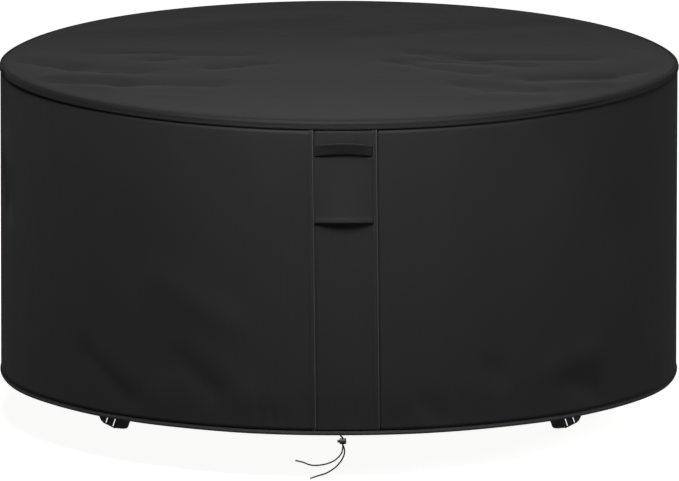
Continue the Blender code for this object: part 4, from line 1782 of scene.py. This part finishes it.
# ---------------------------------------------------------------- straps
@dataclass
class LegStrap:
    """A strap below the hem, sewn in behind it and closed in a loop by a buckle."""

    form: CoverForm
    side: Side
    angle: float
    mirror: float
    width: float = 0.025
    thickness: float = 0.0015
    rows: int = 6
    half_width: float = 0.0345
    half_depth: float = 0.032
    loop_steps: int = 60
    loop_gap: float = 0.010
    tilt: float = math.radians(5.5)
    roll: float = math.radians(20)
    top_rise: float = 0.0112
    clearance: float = 0.0043
    end_return: float = 0.009
    buckle_angle: float = math.radians(22)
    buckle_inset: float = 0.0050
    bar: float = 0.003
    frame_thickness: float = 0.003
    span: float = 0.0288
    hook_steps: int = 12
    run_out: float = 0.004

    def placing(self) -> Matrix:
        """Work out the loop's placing.

        Returns:
            The placing; the loop's front middle is its origin.
        """
        form = self.form
        face = form.wall_radius(self.angle, form.hem_front) - form.hem_inset - form.hem_thickness / 2
        half = self.width / 2
        radius = face - self.clearance - self.thickness / 2 + half * math.sin(self.tilt)
        centre = form.around(self.angle, radius, form.hem_bottom(self.angle) + self.top_rise - half)
        turn = Matrix.Rotation(self.angle + math.pi, 4, "Z")
        mirror = Matrix.Scale(self.mirror, 4, (1, 0, 0))
        tip = Matrix.Rotation(self.tilt, 4, "X")
        roll = Matrix.Rotation(self.roll, 4, "Y")
        return Matrix.Translation(centre) @ turn @ mirror @ tip @ roll

    def loop_point(self, turn: float) -> Vector:
        """Return the loop's point at an angle from its front."""
        return Vector((self.half_width * math.sin(turn), self.half_depth * (math.cos(turn) - 1), 0.0))

    def buckle_placing(self) -> Matrix:
        """Work out the buckle's placing in the loop.

        Returns:
            The placing: X along the loop, Y out of it, Z across it.
        """
        slope = math.atan2(
            self.half_depth * math.sin(self.buckle_angle),
            self.half_width * math.cos(self.buckle_angle),
        )
        turned = Matrix.Translation(self.loop_point(self.buckle_angle)) @ Matrix.Rotation(-slope, 4, "Z")
        return turned @ Matrix.Translation((0, -self.buckle_inset, 0))

    def hook(self, side: int) -> list[Vector]:
        """List the webbing's way over one buckle bar.

        Args:
            side: 1 for the bar where the loop starts, -1 where it ends.

        Returns:
            The points, from the webbing's loose end.
        """
        frame = self.buckle_placing()
        wrap = math.hypot(self.bar, self.frame_thickness) / 2 + 1.5 * self.form.sewn_gap + self.thickness / 2
        bar = Vector((side * self.span / 2, 0, 0))
        points = [bar + Vector((side * self.end_return, -wrap, 0))]
        for step in range(self.hook_steps + 1):
            turn = math.pi * step / self.hook_steps
            points.append(bar + Vector((-side * wrap * math.sin(turn), -wrap * math.cos(turn), 0)))
        points.append(bar + Vector((side * self.run_out, wrap, 0)))
        return [frame @ point for point in points]

    def build(self) -> bpy.types.Object:
        """Make the loop of webbing, hooked over both buckle bars.

        Returns:
            The piece.
        """
        reach = math.asin((self.span / 2 + self.loop_gap) / self.half_width)
        first = self.buckle_angle + reach
        last = self.buckle_angle - reach + 2 * math.pi
        shares = [step / self.loop_steps for step in range(self.loop_steps + 1)]
        ring = [self.loop_point(mix(first, last, share)) for share in shares]
        route = self.hook(1) + ring + list(reversed(self.hook(-1)))
        along = [line_length(route[: n + 1]) for n in range(len(route))]
        placing = self.placing()

        def place(u: float, v: float) -> Vector:
            """Find the webbing's point.

            Args:
                u: The share of the way along it.
                v: The share of the way across it.

            Returns:
                The point.
            """
            point = route[round(u * (len(route) - 1))].copy()
            point.z = mix(-self.width / 2, self.width / 2, v)
            return placing @ point

        def layout(u: float, v: float) -> tuple[float, float]:
            """Return the place in the flat webbing."""
            return along[round(u * (len(route) - 1))], v * self.width

        shape = mapped_grid(len(route) - 1, self.rows, place, layout)
        if self.mirror < 0:
            bmesh.ops.reverse_faces(shape, faces=shape.faces)
        piece = finish_object("leg_webbing_" + self.side.value, shape, Finishes.WEBBING)
        thicken(piece, self.thickness, offset=0.0)
        stand_for(piece, "leg_strap_" + self.side.value, "webbing")
        return piece


# ---------------------------------------------------------------- studio
@dataclass(frozen=True)
class Softbox:
    """A square soft light: where it hangs, what it points at, its side and its watts."""

    name: str
    place: tuple[float, float, float]
    aim: tuple[float, float, float]
    size: float
    power: float

    def hang(self) -> None:
        """Hang the light."""
        data = bpy.data.lights.new(self.name, "AREA")
        data.shape = "SQUARE"
        data.size = self.size
        data.energy = self.power
        lamp = bpy.data.objects.new(self.name, data)
        lamp.location = self.place
        lamp.rotation_euler = (Vector(self.aim) - lamp.location).to_track_quat("-Z", "Y").to_euler()
        bpy.context.scene.collection.objects.link(lamp)


SOFTBOXES = (
    Softbox("near front", (-0.3, -1.7, 1.1), (-0.1, -0.7, -0.4), 0.6, 13.2),
    Softbox("over the edge", (0.0, -1.3, 1.3), (0.0, -0.8, -0.4), 0.8, 9.2),
    Softbox("high front", (-0.3, -3.0, 3.2), (0.0, -0.6, -0.3), 1.5, 102.5),
    Softbox("right", (4.5, -2.5, 2.2), (0.5, 0.0, -0.3), 2.0, 58.0),
)


@dataclass
class Studio:
    """A pale floor, soft lights and a long lens from straight in front."""

    floor_level: float = -0.8150
    floor_radius: float = 14.0
    floor_sides: int = 96
    lens: float = 1000.0
    sensor: float = 36.0
    clip_start: float = 1.0
    clip_end: float = 300.0
    distance: float = 42.52
    elevation: float = math.radians(11.4)
    aim: tuple[float, float, float] = (0.0011, 0.0, -0.4145)
    horizon_low: float = -0.05
    horizon_high: float = 0.30
    light_below: float = 0.151
    light_above: float = 0.0

    def camera(self) -> None:
        """Put up the camera and make it the scene's own."""
        data = bpy.data.cameras.new("camera")
        data.lens = self.lens
        data.sensor_width = self.sensor
        data.clip_start = self.clip_start
        data.clip_end = self.clip_end
        camera = bpy.data.objects.new("camera", data)
        back = Vector((0, -math.cos(self.elevation), math.sin(self.elevation)))
        camera.location = Vector(self.aim) + back * self.distance
        camera.rotation_euler = (math.pi / 2 - self.elevation, 0, 0)
        bpy.context.scene.collection.objects.link(camera)
        bpy.context.scene.camera = camera

    def floor(self) -> None:
        """Lay the pale floor."""
        shape = bmesh.new()
        bmesh.ops.create_circle(shape, cap_ends=True, segments=self.floor_sides, radius=self.floor_radius)
        bmesh.ops.translate(shape, vec=(0, 0, self.floor_level), verts=shape.verts)
        floor = finish_object("studio_floor", shape, Finishes.FLOOR)
        # The paper throws no light up under the cover, whose lower edge stays dark.
        floor.visible_diffuse = False
        floor.visible_glossy = False

    def surroundings(self) -> None:
        """Light the room faintly from under the horizon, and show it pale all round."""
        world = bpy.data.worlds.new("studio")
        world.use_nodes = True
        tree = world.node_tree
        shown = tree.nodes["Background"]
        shown.inputs["Color"].default_value = linear("#fafafa")
        place = add_node(tree, "ShaderNodeTexCoord").outputs["Generated"]
        up = add_node(tree, "ShaderNodeSeparateXYZ", {0: place}).outputs["Z"]
        strength = add_node(
            tree,
            "ShaderNodeMapRange",
            {
                "Value": up,
                "From Min": self.horizon_low,
                "From Max": self.horizon_high,
                "To Min": self.light_below,
                "To Max": self.light_above,
            },
        )
        light = add_node(
            tree,
            "ShaderNodeBackground",
            {"Color": linear("#ffffff"), "Strength": strength.outputs["Result"]},
        )
        seen = add_node(tree, "ShaderNodeLightPath").outputs["Is Camera Ray"]
        both = add_node(tree, "ShaderNodeMixShader", {0: seen, 1: light.outputs[0], 2: shown.outputs[0]})
        tree.links.new(both.outputs[0], tree.nodes["World Output"].inputs["Surface"])
        bpy.context.scene.world = world

    def build(self) -> None:
        """Set up the whole studio."""
        self.camera()
        self.floor()
        self.surroundings()
        for softbox in SOFTBOXES:
            softbox.hang()
        bpy.context.scene.view_settings.view_transform = "Standard"
        LOG.info("studio is set up")


# ---------------------------------------------------------------- the whole cover
def dress_node(node: str) -> None:
    """Give a hard solid the moulded plastic finish.

    Args:
        node: The solid's node.
    """
    piece = next(o for o in bpy.data.objects if o.get("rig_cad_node") == node)
    for slot in piece.material_slots:
        slot.material = Finishes.PLASTIC.material()
    LOG.info("%s: %s", node, Finishes.PLASTIC.value.name)


def main() -> None:
    """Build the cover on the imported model."""
    logging.basicConfig(level=logging.INFO, format="%(name)s: %(message)s")
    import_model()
    Studio().build()
    form = CoverForm()
    Drawcord(form).build()
    top_panel = TopPanel(form)
    top = top_panel.build()
    wall = WallPanel(form).build()
    rim = Rim(form).build()
    hem = Hem(form).build()
    strip, welt_left, welt_right, handle, flap, flap_hem = FrontStrip(form).build()
    LegStrap(form, side=Side.LEFT, angle=math.radians(-43.6), mirror=-1.0).build()
    LegStrap(form, side=Side.RIGHT, angle=math.radians(44.1), mirror=1.0).build()

    for node in ("lock_barrel", "lock_plunger"):
        dress_node(node)
    for side in Side:
        dress_node(f"buckle_{side.value}_socket")
        dress_node(f"buckle_{side.value}_plug")

    LOG.info("the cover is complete")


if __name__ == "__main__":
    main()
